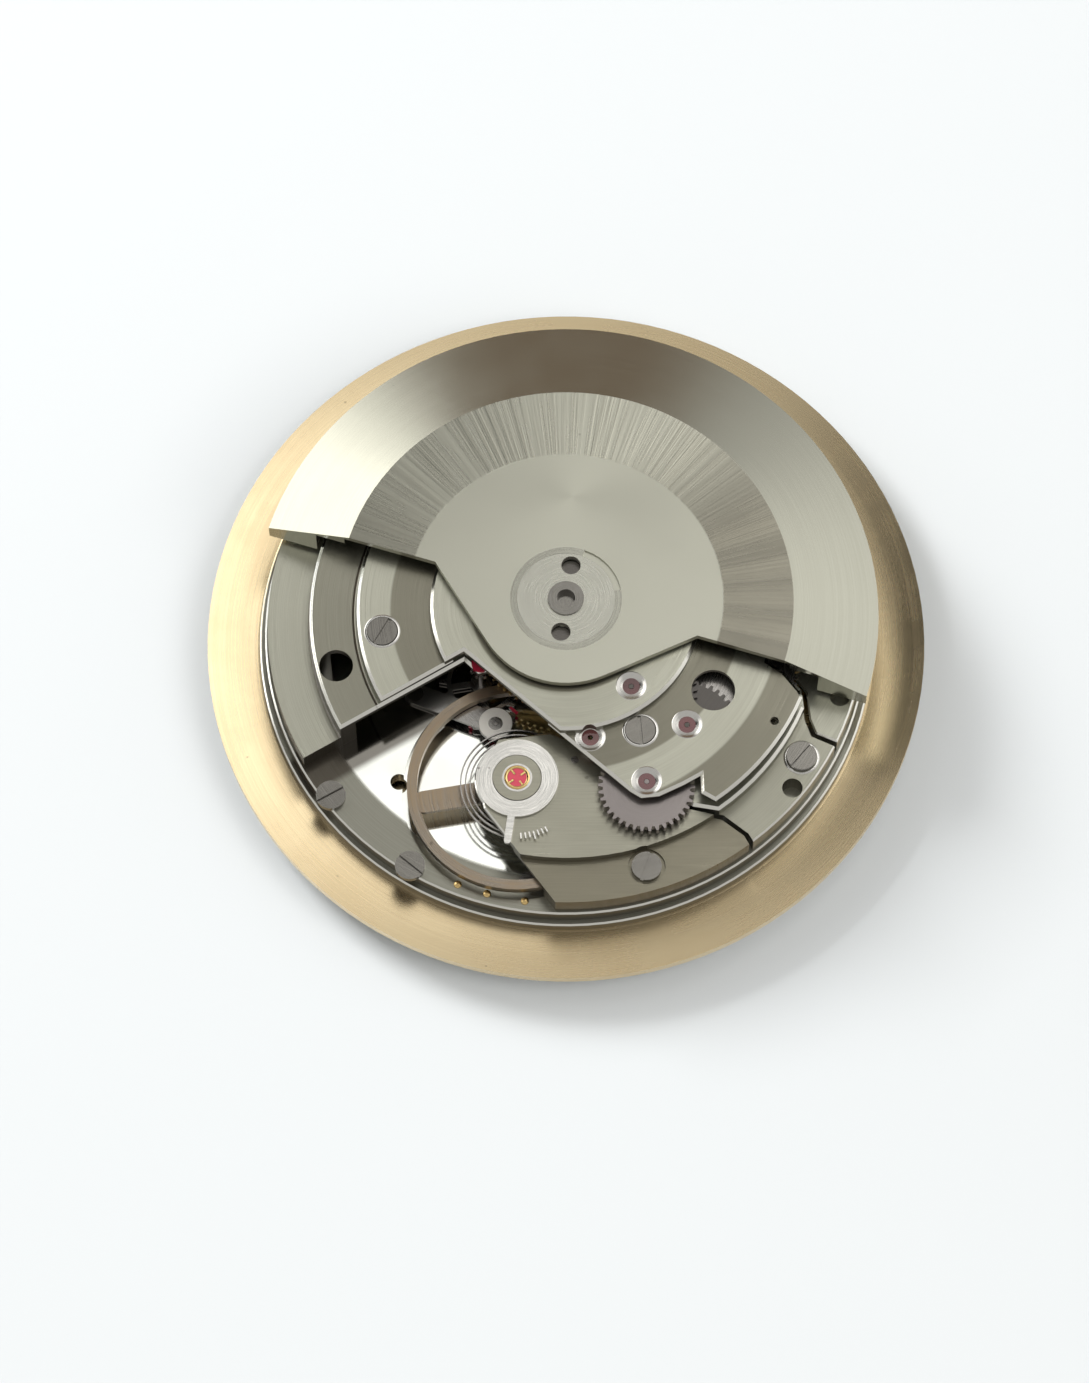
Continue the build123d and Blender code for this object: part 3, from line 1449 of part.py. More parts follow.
with BuildPart() as rotor_bearing:
    with BuildSketch(level(auto_bridge_low)):
        Circle(bearing_outer_radius)
        Circle(bearing_radius, mode=Mode.SUBTRACT)
    extrude(amount=bearing_high - auto_bridge_low)
finish(rotor_bearing, "rotor_bearing")

rotor_plane = Plane(
    origin=(0, 0, dial_seat), x_dir=(cos(radians(rotor_cut_angle)), sin(radians(rotor_cut_angle)), 0),
    z_dir=(0, 0, 1))
neck_x = rotor_neck_radius ** 2 / rotor_corner_radius
neck_y = (rotor_neck_radius ** 2 - neck_x ** 2) ** 0.5
with BuildPart() as rotor_weight:
    with BuildSketch(Plane.XZ):
        heights = [dial_seat + height for height in (rotor_low, rotor_high, rotor_edge_high, weight_low)]
        shelf = dial_seat + weight_shelf_high
        with BuildLine():
            Polyline(
                (hub_disc_radius, heights[0]), (hub_disc_radius, heights[1]), (rotor_disc_radius, heights[1]),
                (rotor_land_radius, heights[1] - rotor_land_drop),
                (rotor_radius, heights[2]), (rotor_radius, heights[3]), (weight_inner_radius, heights[3]),
                (weight_inner_radius, shelf), (weight_shelf_inner, shelf), (weight_shelf_inner, heights[0]),
                close=True)
        make_face()
    revolve(axis=Axis.Z)
    with BuildSketch(rotor_plane):
        with Locations((0, rotor_radius)):
            Rectangle(4 * rotor_radius, 2 * rotor_radius)
        Polygon((-rotor_corner_radius, 0), (rotor_corner_radius, 0), (neck_x, -neck_y), (-neck_x, -neck_y),
                align=None)
        Circle(rotor_neck_radius)
    extrude(amount=2 * rotor_high, mode=Mode.INTERSECT)
    with BuildSketch(level(rotor_high - clip_depth)):
        Circle(hub_radius)
    extrude(amount=clip_depth, mode=Mode.SUBTRACT)
finish(rotor_weight, "rotor_weight")

hub_tube_radius = bearing_radius - running
with BuildPart() as rotor_hub:
    with BuildSketch(level(first_wheel_low)):
        toothed(centre_place, rotor_gear_teeth, auto_module, rotor_gear_phase)
    extrude(amount=first_wheel_high - first_wheel_low)
    with BuildSketch(level(first_wheel_low)):
        Circle(hub_tube_radius)
    extrude(amount=rotor_low - first_wheel_low)
    with BuildSketch(level(rotor_low)):
        Circle(hub_disc_radius)
    extrude(amount=rotor_high - rotor_low)
    with BuildSketch(level(rotor_low)):
        for turn in (0, 180):
            disc(polar(hub_eye_distance, hub_eye_angle + turn), hub_eye_radius)
    extrude(amount=rotor_high, mode=Mode.SUBTRACT)
    with BuildSketch(level(first_wheel_low)):
        Circle(hub_tube_bore)
    extrude(amount=rotor_high, mode=Mode.SUBTRACT)
    with BuildSketch(level(rotor_high - centre_screw_depth)):
        Circle(centre_screw_radius)
    extrude(amount=rotor_high, mode=Mode.SUBTRACT)
finish(rotor_hub, "rotor_hub")

with BuildPart() as rotor_screw:
    with BuildSketch(level(rotor_high - centre_screw_depth)):
        Circle(centre_screw_radius)
    extrude(amount=centre_screw_depth + centre_screw_rise)
    with BuildSketch(level(first_wheel_high)):
        Circle(hub_tube_bore)
    extrude(amount=rotor_high - first_wheel_high)
    with BuildSketch(level(rotor_low)):
        Circle(hub_bore)
    extrude(amount=rotor_high, mode=Mode.SUBTRACT)
finish(rotor_screw, "rotor_screw")

clip_start = 40
clip_cut = polar(4 * hub_radius, clip_start - (360 - clip_turn) / 2)
clip_cut_end = polar(4 * hub_radius, clip_start + (360 - clip_turn) / 2)
with BuildPart() as rotor_clip:
    with BuildSketch(level(rotor_high - clip_depth)):
        Circle(hub_radius)
        Circle(clip_inner_radius, mode=Mode.SUBTRACT)
        Polygon((0, 0), clip_cut, clip_cut_end, align=None, mode=Mode.SUBTRACT)
    extrude(amount=clip_depth)
finish(rotor_clip, "rotor_clip")

# Screws, in groups of the same use
bridge_screws_at = (
    (cock_screw_place, foot_top - screw_head_height / 2), (barrel_screw_places[0], foot_top),
    (barrel_screw_places[1], foot_top), (train_screw_places[0], foot_top), (train_screw_places[1], foot_top),
    (plate_screw_places[0], plate_top), (plate_screw_places[1], plate_top))
slot_angles = (70, 50, 20, 75, 110, 30, 140)


def screw_slot(place, angle, reach):
    """A screw's slot, in the current sketch."""
    with Locations(Location((place[0], place[1], 0), (0, 0, angle))):
        Rectangle(reach, slot_width)


with BuildPart() as bridge_screws:
    for (place, seat), angle in zip(bridge_screws_at, slot_angles):
        with BuildSketch(level(seat)):
            disc(place, screw_head_radius)
        extrude(amount=screw_head_height)
        with BuildSketch(level(recess_top)):
            disc(place, screw_shank_radius)
        extrude(amount=seat - recess_top)
        with BuildSketch(level(seat + screw_head_height - slot_depth)):
            screw_slot(place, angle, 4 * screw_head_radius)
        extrude(amount=slot_depth, mode=Mode.SUBTRACT)
    crown_screw_radius = crown_core_radius + screw_shank_radius
    with BuildSketch(level(ratchet_high)):
        disc(crown_wheel_place, crown_screw_radius)
    extrude(amount=ratchet_screw_head)
    with BuildSketch(level(pallet_bridge_high - step_gap)):
        disc(pallet_foot_place, pallet_screw_radius)
    extrude(amount=step_gap)
    with BuildSketch(level(plate_top)):
        disc(pallet_foot_place, pallet_screw_radius)
    extrude(amount=pallet_bridge_high - step_gap - plate_top)
finish(bridge_screws, "bridge_screws")

auto_seat = auto_bridge_high - screw_head_height / 2
auto_slot_angles = (60, 10, 95)
with BuildPart() as auto_screws:
    for place, angle in zip(auto_screw_places + [auto_flat_place], auto_slot_angles):
        with BuildSketch(level(auto_seat)):
            disc(place, screw_head_radius)
        extrude(amount=screw_head_height / 2 + step_gap)
        with BuildSketch(level(auto_bridge_high + step_gap - slot_depth)):
            screw_slot(place, angle, 4 * screw_head_radius)
        extrude(amount=slot_depth, mode=Mode.SUBTRACT)
    with BuildSketch(level(train_bridge_low)):
        for place in auto_screw_places:
            disc(place, screw_shank_radius)
    extrude(amount=auto_seat - train_bridge_low)
    with BuildSketch(level(auto_bridge_low)):
        disc(auto_flat_place, screw_shank_radius)
    extrude(amount=auto_seat - auto_bridge_low)
finish(auto_screws, "auto_screws")
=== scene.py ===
"""Finishes, light and camera for an automatic watch movement, rotor side up. Lengths are in metres."""
import json
import math

import bmesh
import bpy
import numpy as np
from mathutils import Matrix, Vector


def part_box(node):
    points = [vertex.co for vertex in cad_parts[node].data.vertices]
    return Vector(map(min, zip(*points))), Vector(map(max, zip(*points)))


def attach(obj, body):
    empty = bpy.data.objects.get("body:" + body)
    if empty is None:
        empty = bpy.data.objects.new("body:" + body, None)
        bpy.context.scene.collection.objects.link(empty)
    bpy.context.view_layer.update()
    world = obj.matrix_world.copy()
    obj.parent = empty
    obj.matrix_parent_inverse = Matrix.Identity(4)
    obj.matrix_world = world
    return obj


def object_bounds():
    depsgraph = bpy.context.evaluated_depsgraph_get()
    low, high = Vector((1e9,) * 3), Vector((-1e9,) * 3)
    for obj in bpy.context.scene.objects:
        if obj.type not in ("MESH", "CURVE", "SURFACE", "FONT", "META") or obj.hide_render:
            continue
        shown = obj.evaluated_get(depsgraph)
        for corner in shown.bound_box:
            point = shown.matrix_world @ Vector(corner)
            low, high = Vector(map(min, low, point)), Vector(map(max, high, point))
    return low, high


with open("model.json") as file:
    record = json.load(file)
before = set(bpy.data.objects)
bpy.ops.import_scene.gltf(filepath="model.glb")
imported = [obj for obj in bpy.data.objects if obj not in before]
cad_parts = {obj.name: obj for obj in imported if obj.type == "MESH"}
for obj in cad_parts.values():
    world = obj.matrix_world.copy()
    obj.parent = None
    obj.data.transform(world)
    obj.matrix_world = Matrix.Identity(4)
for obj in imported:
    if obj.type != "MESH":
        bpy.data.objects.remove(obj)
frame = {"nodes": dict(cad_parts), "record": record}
cad_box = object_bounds()
nodes = frame["nodes"]
MM = 0.001


def middle_of(name):
    """The middle of a node in plan."""
    low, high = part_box(name)
    return ((low.x + high.x) / 2, (low.y + high.y) / 2)


# Sizes and places taken from the frame
dial_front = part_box("dial")[0].z
dial_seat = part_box("main_plate")[0].z
cock_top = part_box("balance_cock")[1].z
auto_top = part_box("auto_bridge")[1].z
pallet_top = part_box("pallet_bridge")[1].z
shock_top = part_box("shock_setting")[1].z
shock_jewel_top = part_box("shock_jewel")[1].z
balance_point = middle_of("balance_wheel")
reduction_point = middle_of("reduction_wheel")
centre = (0.0, 0.0)

# Heights of the levels that carry trim
auto_low_top = auto_top - 0.43 * MM
foot_top = dial_seat + 2.2 * MM
plate_top = dial_seat + 1.2 * MM

# Ring stripes of each bridge: (radius where they start, width of one)
auto_stripes = (5.6 * MM, 1.65 * MM)
train_stripes = (8.8 * MM, 1.85 * MM)
barrel_stripes = (10.6 * MM, 2.0 * MM)


# Helpers for shader trees

def effect(name, inputs, outputs):
    """A shader node group with named sockets: (tree, its input node, its output node)."""
    tree = bpy.data.node_groups.new(name, "ShaderNodeTree")
    for title, kind, value in inputs:
        socket = tree.interface.new_socket(title, in_out="INPUT", socket_type=kind)
        if value is not None:
            socket.default_value = value
    for title in outputs:
        tree.interface.new_socket(title, in_out="OUTPUT", socket_type="NodeSocketFloat")
    return tree, tree.nodes.new("NodeGroupInput"), tree.nodes.new("NodeGroupOutput")


def feed(tree, socket, value):
    """Link a socket to another, or give it a plain value."""
    if isinstance(value, bpy.types.NodeSocket):
        tree.links.new(value, socket)
    else:
        socket.default_value = value


def calc(tree, operation, *values, clamp=False):
    """The output of a Math node on sockets or numbers."""
    node = tree.nodes.new("ShaderNodeMath")
    node.operation = operation
    node.use_clamp = clamp
    for socket, value in zip(node.inputs, values):
        feed(tree, socket, value)
    return node.outputs[0]


def ramp(tree, value, low, high):
    """0 below low, 1 above high, and smooth between."""
    node = tree.nodes.new("ShaderNodeMapRange")
    node.interpolation_type = "SMOOTHSTEP"
    for title, part in (("Value", value), ("From Min", low), ("From Max", high)):
        feed(tree, node.inputs[title], part)
    return node.outputs["Result"]


def noise(tree, vector, scale, detail=2.0, rough=0.5):
    """Noise of a vector, about 0.3 to 0.7."""
    node = tree.nodes.new("ShaderNodeTexNoise")
    feed(tree, node.inputs["Vector"], vector)
    feed(tree, node.inputs["Scale"], scale)
    node.inputs["Detail"].default_value = detail
    node.inputs["Roughness"].default_value = rough
    return node.outputs["Fac"]


def flat_radius(tree, vector):
    """The distance from the Z axis of a vector, and its parts."""
    parts = tree.nodes.new("ShaderNodeSeparateXYZ")
    feed(tree, parts.inputs[0], vector)
    square = calc(tree, "ADD", calc(tree, "MULTIPLY", parts.outputs["X"], parts.outputs["X"]),
                  calc(tree, "MULTIPLY", parts.outputs["Y"], parts.outputs["Y"]))
    return calc(tree, "SQRT", square), parts


def band(tree, value, middle, half_width, soft):
    """1 where a value is near a middle value, 0 elsewhere, with a soft border."""
    inner, outer = half_width, half_width + soft
    rise = ramp(tree, value, middle - outer, middle - inner)
    fall = ramp(tree, value, middle + inner, middle + outer)
    return calc(tree, "SUBTRACT", rise, fall)


# The least radius that a direction is divided by
least_radius = 0.01 * MM

# The values of a noise between which a streak or a cloud rises, and the edge above which a speck shows, which
# comes down by a share of the amount of specks
streak_range = (0.32, 0.68)
cloud_range = (0.35, 0.7)
speck_edge = 0.86
speck_share = 0.12
speck_soft = 0.05

# The upright part of the normal on a level face, and on a wall
level_range = (0.9, 0.97)
wall_range = (0.2, 0.5)


def round_vector(tree, vector, turn_scale, radius_scale):
    """A vector for noise without a seam: the direction in plan and the radius, each times its own scale."""
    radius, parts = flat_radius(tree, vector)
    safe = calc(tree, "MAXIMUM", radius, least_radius)
    joined = tree.nodes.new("ShaderNodeCombineXYZ")
    for title in ("X", "Y"):
        share = calc(tree, "DIVIDE", parts.outputs[title], safe)
        feed(tree, joined.inputs[title], calc(tree, "MULTIPLY", share, turn_scale))
    feed(tree, joined.inputs["Z"], calc(tree, "MULTIPLY", radius, radius_scale))
    return joined.outputs[0]


def streaks(tree, vector, detail=3.0):
    """Noise of a stretched vector, from 0 to 1."""
    return ramp(tree, noise(tree, vector, 1.0, detail, rough=0.6), *streak_range)


def make_sunray_grain():
    """Fine lines that run out from the Z axis: noise of the direction in plan, drawn out along the radius."""
    tree, given, out = effect(
        "Sunray grain",
        [("Vector", "NodeSocketVector", None), ("Lines", "NodeSocketFloat", 90.0),
         ("Along", "NodeSocketFloat", 120.0)],
        ["Streak"])
    vector = round_vector(tree, given.outputs["Vector"], given.outputs["Lines"], given.outputs["Along"])
    feed(tree, out.inputs["Streak"], streaks(tree, vector, 4.0))
    return tree


def make_ring_grain():
    """Fine lines that run round the Z axis: noise of the radius, drawn out along the turn."""
    tree, given, out = effect(
        "Ring grain",
        [("Vector", "NodeSocketVector", None), ("Lines per metre", "NodeSocketFloat", 22000.0),
         ("Around", "NodeSocketFloat", 1.5)],
        ["Streak"])
    vector = round_vector(tree, given.outputs["Vector"], given.outputs["Around"],
                          given.outputs["Lines per metre"])
    feed(tree, out.inputs["Streak"], streaks(tree, vector))
    return tree


def make_straight_grain():
    """Fine straight lines along X of the given vector: noise with a long stretch."""
    tree, given, out = effect(
        "Straight grain",
        [("Vector", "NodeSocketVector", None), ("Across", "NodeSocketFloat", 18000.0),
         ("Along", "NodeSocketFloat", 500.0)],
        ["Streak"])
    parts = tree.nodes.new("ShaderNodeSeparateXYZ")
    feed(tree, parts.inputs[0], given.outputs["Vector"])
    joined = tree.nodes.new("ShaderNodeCombineXYZ")
    for title, scale in (("X", "Along"), ("Y", "Across"), ("Z", "Along")):
        feed(tree, joined.inputs[title], calc(tree, "MULTIPLY", parts.outputs[title], given.outputs[scale]))
    feed(tree, out.inputs["Streak"], streaks(tree, joined.outputs[0]))
    return tree


def make_ring_stripes():
    """Stripes that run round the Z axis: 1 in every second ring of one width, counted from a start radius."""
    tree, given, out = effect(
        "Ring stripes",
        [("Vector", "NodeSocketVector", None), ("Start", "NodeSocketFloat", auto_stripes[0]),
         ("Width", "NodeSocketFloat", auto_stripes[1]), ("Soft", "NodeSocketFloat", 0.12)],
        ["Stripe"])
    radius, _ = flat_radius(tree, given.outputs["Vector"])
    past_start = calc(tree, "SUBTRACT", radius, given.outputs["Start"])
    rings = calc(tree, "DIVIDE", past_start, given.outputs["Width"])
    wave = calc(tree, "SINE", calc(tree, "MULTIPLY", rings, math.pi))
    low = calc(tree, "MULTIPLY", given.outputs["Soft"], -1.0)
    feed(tree, out.inputs["Stripe"], ramp(tree, wave, low, given.outputs["Soft"]))
    return tree


def make_slopes():
    """1 on faces that slope, such as chamfers, and 0 on level faces and upright walls."""
    tree, given, out = effect("Slopes", [("Normal", "NodeSocketVector", None)], ["Slope", "Wall"])
    parts = tree.nodes.new("ShaderNodeSeparateXYZ")
    feed(tree, parts.inputs[0], given.outputs["Normal"])
    rise = calc(tree, "ABSOLUTE", parts.outputs["Z"])
    wall = calc(tree, "SUBTRACT", 1.0, ramp(tree, rise, *wall_range))
    not_level = calc(tree, "SUBTRACT", 1.0, ramp(tree, rise, *level_range))
    feed(tree, out.inputs["Wall"], wall)
    feed(tree, out.inputs["Slope"], calc(tree, "SUBTRACT", not_level, wall, clamp=True))
    return tree


def make_age():
    """Handling marks: wide dull clouds, and small dark specks of dust and old oil."""
    tree, given, out = effect(
        "Age", [("Vector", "NodeSocketVector", None), ("Cloud scale", "NodeSocketFloat", 260.0),
                ("Speck scale", "NodeSocketFloat", 2600.0), ("Specks", "NodeSocketFloat", 0.5)],
        ["Cloud", "Speck"])
    cloud = noise(tree, given.outputs["Vector"], given.outputs["Cloud scale"], detail=4.0, rough=0.6)
    feed(tree, out.inputs["Cloud"], ramp(tree, cloud, *cloud_range))
    fine = noise(tree, given.outputs["Vector"], given.outputs["Speck scale"], detail=1.0)
    lowered = calc(tree, "MULTIPLY", given.outputs["Specks"], speck_share)
    edge = calc(tree, "SUBTRACT", speck_edge, lowered)
    feed(tree, out.inputs["Speck"], ramp(tree, fine, edge, calc(tree, "ADD", edge, speck_soft)))
    return tree


sunray_grain = make_sunray_grain()
ring_grain = make_ring_grain()
straight_grain = make_straight_grain()
ring_stripes = make_ring_stripes()
slopes = make_slopes()
age = make_age()


class Finish:
    """A material in the making: its tree, its Principled shader and its coordinates."""

    def __init__(self, name, colour, roughness, metallic=1.0):
        self.material = bpy.data.materials.new(name)
        self.material.use_nodes = True
        self.tree = self.material.node_tree
        self.shader = self.tree.nodes["Principled BSDF"]
        self.shader.inputs["Metallic"].default_value = metallic
        self.places = self.tree.nodes.new("ShaderNodeTexCoord")
        self.colour = (*colour, 1.0)
        self.rough = roughness
        self.height = None

    def around(self, place, turn=0.0):
        """Object coordinates centred on a place in plan and turned about Z by degrees."""
        node = self.tree.nodes.new("ShaderNodeMapping")
        node.vector_type = "TEXTURE"
        node.inputs["Location"].default_value = (*place, 0.0)
        node.inputs["Rotation"].default_value = (0.0, 0.0, math.radians(turn))
        self.tree.links.new(self.places.outputs["Object"], node.inputs["Vector"])
        return node.outputs[0]

    def effect(self, group, vector, output, **values):
        """One output of an effect group placed in this material."""
        node = self.tree.nodes.new("ShaderNodeGroup")
        node.node_tree = group
        feed(self.tree, node.inputs[0], vector)
        for title, value in values.items():
            node.inputs[title.replace("_", " ")].default_value = value
        return node.outputs[output]

    def tint(self, mask, colour, amount=1.0):
        """Mix the colour so far with another by a mask."""
        node = self.tree.nodes.new("ShaderNodeMix")
        node.data_type = "RGBA"
        feed(self.tree, node.inputs["Factor"], calc(self.tree, "MULTIPLY", mask, amount))
        feed(self.tree, node.inputs[6], self.colour)
        feed(self.tree, node.inputs[7], (*colour, 1.0))
        self.colour = node.outputs[2]

    def roughen(self, mask, amount):
        """Add to the roughness by a mask."""
        self.rough = calc(self.tree, "ADD", self.rough, calc(self.tree, "MULTIPLY", mask, amount))

    def polish(self, mask, roughness):
        """Bring the roughness to a value by a mask."""
        node = self.tree.nodes.new("ShaderNodeMix")
        feed(self.tree, node.inputs[0], mask)
        feed(self.tree, node.inputs[2], self.rough)
        feed(self.tree, node.inputs[3], roughness)
        self.rough = node.outputs[0]

    def raise_by(self, mask, height):
        """Add a height in metres by a mask, for the bump."""
        part = calc(self.tree, "MULTIPLY", mask, height)
        self.height = part if self.height is None else calc(self.tree, "ADD", self.height, part)

    def done(self, anisotropy=0.0, turned=0.0):
        """Join everything to the shader and give the material."""
        feed(self.tree, self.shader.inputs["Base Color"], self.colour)
        feed(self.tree, self.shader.inputs["Roughness"], self.rough)
        if anisotropy:
            tangent = self.tree.nodes.new("ShaderNodeTangent")
            tangent.direction_type = "RADIAL"
            tangent.axis = "Z"
            self.shader.inputs["Anisotropic"].default_value = anisotropy
            self.shader.inputs["Anisotropic Rotation"].default_value = turned
            self.tree.links.new(tangent.outputs[0], self.shader.inputs["Tangent"])
        if self.height is not None:
            bump = self.tree.nodes.new("ShaderNodeBump")
            bump.inputs["Distance"].default_value = 1.0
            feed(self.tree, bump.inputs["Height"], self.height)
            self.tree.links.new(bump.outputs[0], self.shader.inputs["Normal"])
        return self.material


# Colours of the metals and stones, as linear light
nickel_colour = (0.63, 0.63, 0.54)
nickel_dark = (0.26, 0.245, 0.195)
# Painted shade for the rotor's sunray ring away from its sheen
ring_shade_colour = (0.22, 0.205, 0.17)
# Near white painted on chamfers and on one edge line of the train bridge: a painted highlight
painted_highlight_colour = (0.92, 0.91, 0.86)
rotor_colour = (0.60, 0.60, 0.52)
hub_colour = (0.60, 0.60, 0.54)
clip_colour = (0.42, 0.42, 0.37)
cock_colour = (0.50, 0.49, 0.41)
foot_colour = (0.30, 0.275, 0.21)
steel_colour = (0.50, 0.48, 0.47)
pink_steel = (0.38, 0.345, 0.345)
pallet_steel = (0.42, 0.41, 0.40)
screw_colour = (0.26, 0.25, 0.235)
silver_colour = (0.72, 0.71, 0.70)
gilt_colour = (0.97, 0.80, 0.52)
gilt_deep = (0.60, 0.38, 0.16)
brass_colour = (0.72, 0.56, 0.26)
balance_colour = (0.36, 0.33, 0.295)
ruby_colour = (0.62, 0.02, 0.07)
ruby_light = (0.85, 0.10, 0.16)
smoked_ruby = (0.11, 0.03, 0.035)
smoked_light = (0.20, 0.06, 0.06)
plate_colour = (0.90, 0.92, 0.89)
rim_colour = (0.36, 0.355, 0.30)
dark_steel = (0.16, 0.15, 0.145)
bright_steel = (0.78, 0.77, 0.75)
washer_colour = (0.80, 0.78, 0.74)
gold_colour = (0.90, 0.66, 0.30)
dial_front_colour = (0.84, 0.80, 0.70)
ink_colour = (0.05, 0.045, 0.04)
# Near black for real dust and old-oil specks, and also used as painted shade on walls, in a groove and in a
# band along the train bridge's edge on the plate
grime_and_shade_colour = (0.09, 0.075, 0.06)

# Roughness of the finishes that come more than once
mirror_rough = 0.09
polished_rough = 0.14
satin_rough = 0.27
matt_rough = 0.3

# How much a grain tints and roughens its metal, and how high it stands
grain_tint = 0.16
grain_rough = 0.08
fine_height = 0.0012 * MM

# Lines on the train bridge, both sunk by the bump: a groove painted dark as painted shade, and an edge
# painted light as a painted highlight: (radius, half width, colour)
train_shade_and_glint_lines = ((8.8 * MM, 0.03 * MM, grime_and_shade_colour), (10.62 * MM, 0.06 * MM, painted_highlight_colour))
line_soft = 0.03 * MM
line_depth = 12.0 * fine_height

# The slanted edge of the train bridge: a point on it and its turn in degrees. A band of painted shade follows
# it on the plate, standing in for the bridge wall's shadow and dark reflection: its middle, half width and
# soft border past the edge
edge_point = (-4.2 * MM, -2.13 * MM)
edge_turn = 30.9
corner_shade_band = (0.2 * MM, 0.8 * MM, 0.4 * MM)

# Where a finish gives way to the next: (start, end) in height or radius
arm_levels = (dial_seat + 2.25 * MM, dial_seat + 2.29 * MM)
plate_rim = (10.7 * MM, 10.9 * MM)
rotor_disc_end = (6.45 * MM, 6.55 * MM)
rotor_cone_start = (9.36 * MM, 9.4 * MM)

# The turn at which the rotor's sunray ring shines, and the cosines from it between which it fades
sheen_turn = 105.0
sheen_range = (0.1, 0.95)

# How far down a face of the dial looks before it counts as its front
front_range = (0.5, 0.9)

# Synthetic ruby
ruby_index = 1.76
ruby_clearness = 0.35


def aged(finish, amount=0.35, specks=0.5, rough=0.06):
    """Clouds and specks over a finish."""
    vector = finish.around(centre)
    cloud = finish.effect(age, vector, "Cloud", Specks=specks)
    speck = finish.effect(age, vector, "Speck", Specks=specks)
    finish.tint(speck, grime_and_shade_colour, amount)
    finish.roughen(cloud, rough)
    return cloud


def bright_slopes(finish, roughness=polished_rough, wall_shade=0.6):
    """Polished chamfers lightened as a painted highlight, and walls darkened as painted shade."""
    slope = finish.effect(slopes, finish.places.outputs["Normal"], "Slope")
    wall = finish.effect(slopes, finish.places.outputs["Normal"], "Wall")
    finish.tint(slope, painted_highlight_colour)
    finish.tint(wall, grime_and_shade_colour, wall_shade)
    finish.polish(slope, roughness)


def grained(finish, streak, colour=nickel_dark, tint=grain_tint, rough=grain_rough, height=fine_height):
    """Fine lines over a finish: a tint, some roughness and a low relief by one streak."""
    finish.tint(streak, colour, tint)
    finish.roughen(streak, rough)
    finish.raise_by(streak, height)


def striped_nickel(name, stripes, dark_amount, lines=(), wall_shade=0.6):
    """Nickel with ring stripes, ring grain, polished chamfers lightened as a painted highlight, walls
    darkened as painted shade, and sunk lines at given radii painted in their own colours.
    """
    finish = Finish(name, nickel_colour, satin_rough)
    vector = finish.around(centre)
    start, width = stripes
    stripe = finish.effect(ring_stripes, vector, "Stripe", Start=start, Width=width)
    finish.tint(stripe, nickel_dark, dark_amount)
    radius, _ = flat_radius(finish.tree, vector)
    for line_radius, half_width, colour in lines:
        # Each line is sunk and painted: dark as painted shade in the groove, light as a painted highlight on
        # the edge
        line = band(finish.tree, radius, line_radius, half_width, line_soft)
        finish.tint(line, colour)
        finish.raise_by(line, -line_depth)
    grained(finish, finish.effect(ring_grain, vector, "Streak"), tint=0.12)
    aged(finish)
    bright_slopes(finish, wall_shade=wall_shade)
    return finish.done(anisotropy=0.35, turned=0.25)


def plain_nickel(name, turn=20.0):
    """Nickel with straight grain, polished chamfers lightened as a painted highlight, and walls darkened as
    painted shade.
    """
    finish = Finish(name, nickel_colour, matt_rough)
    grained(finish, finish.effect(straight_grain, finish.around(centre, turn), "Streak"))
    aged(finish)
    bright_slopes(finish)
    return finish.done()


def cock_nickel(name):
    """The balance cock: satin nickel, its low foot browner than its arm."""
    finish = Finish(name, cock_colour, satin_rough)
    _, parts = flat_radius(finish.tree, finish.places.outputs["Object"])
    arm = ramp(finish.tree, parts.outputs["Z"], *arm_levels)
    finish.tint(calc(finish.tree, "SUBTRACT", 1.0, arm), foot_colour, 0.85)
    grained(finish, finish.effect(straight_grain, finish.around(centre), "Streak"))
    aged(finish)
    bright_slopes(finish)
    return finish.done()


def past_edge(tree, parts):
    """The distance past the slanted edge: (x - edge x) * sin(turn) - (y - edge y) * cos(turn)."""
    turn = math.radians(edge_turn)
    offset = edge_point[0] * math.sin(turn) - edge_point[1] * math.cos(turn)
    along_x = calc(tree, "MULTIPLY", parts.outputs["X"], math.sin(turn))
    along_y = calc(tree, "MULTIPLY", parts.outputs["Y"], math.cos(turn))
    return calc(tree, "SUBTRACT", calc(tree, "SUBTRACT", along_x, along_y), offset)


def polished_plate(name):
    """The main plate: mirror polished floor, with a darker satin rim, and a band of painted shade along the
    train bridge's edge.
    """
    finish = Finish(name, plate_colour, mirror_rough)
    vector = finish.around(centre)
    radius, parts = flat_radius(finish.tree, vector)
    rim = ramp(finish.tree, radius, *plate_rim)
    corner = band(finish.tree, past_edge(finish.tree, parts), *corner_shade_band)
    satin = calc(finish.tree, "MULTIPLY", finish.effect(ring_grain, vector, "Streak"), rim)
    finish.tint(rim, rim_colour, 0.9)
    finish.tint(satin, nickel_dark, 0.3)
    # Painted shade along the train bridge's slanted edge
    finish.tint(corner, grime_and_shade_colour, 0.85)
    finish.polish(rim, matt_rough)
    finish.raise_by(satin, fine_height)
    aged(finish, amount=0.5, specks=0.7, rough=0.05)
    bright_slopes(finish, roughness=0.12, wall_shade=0.75)
    return finish.done()


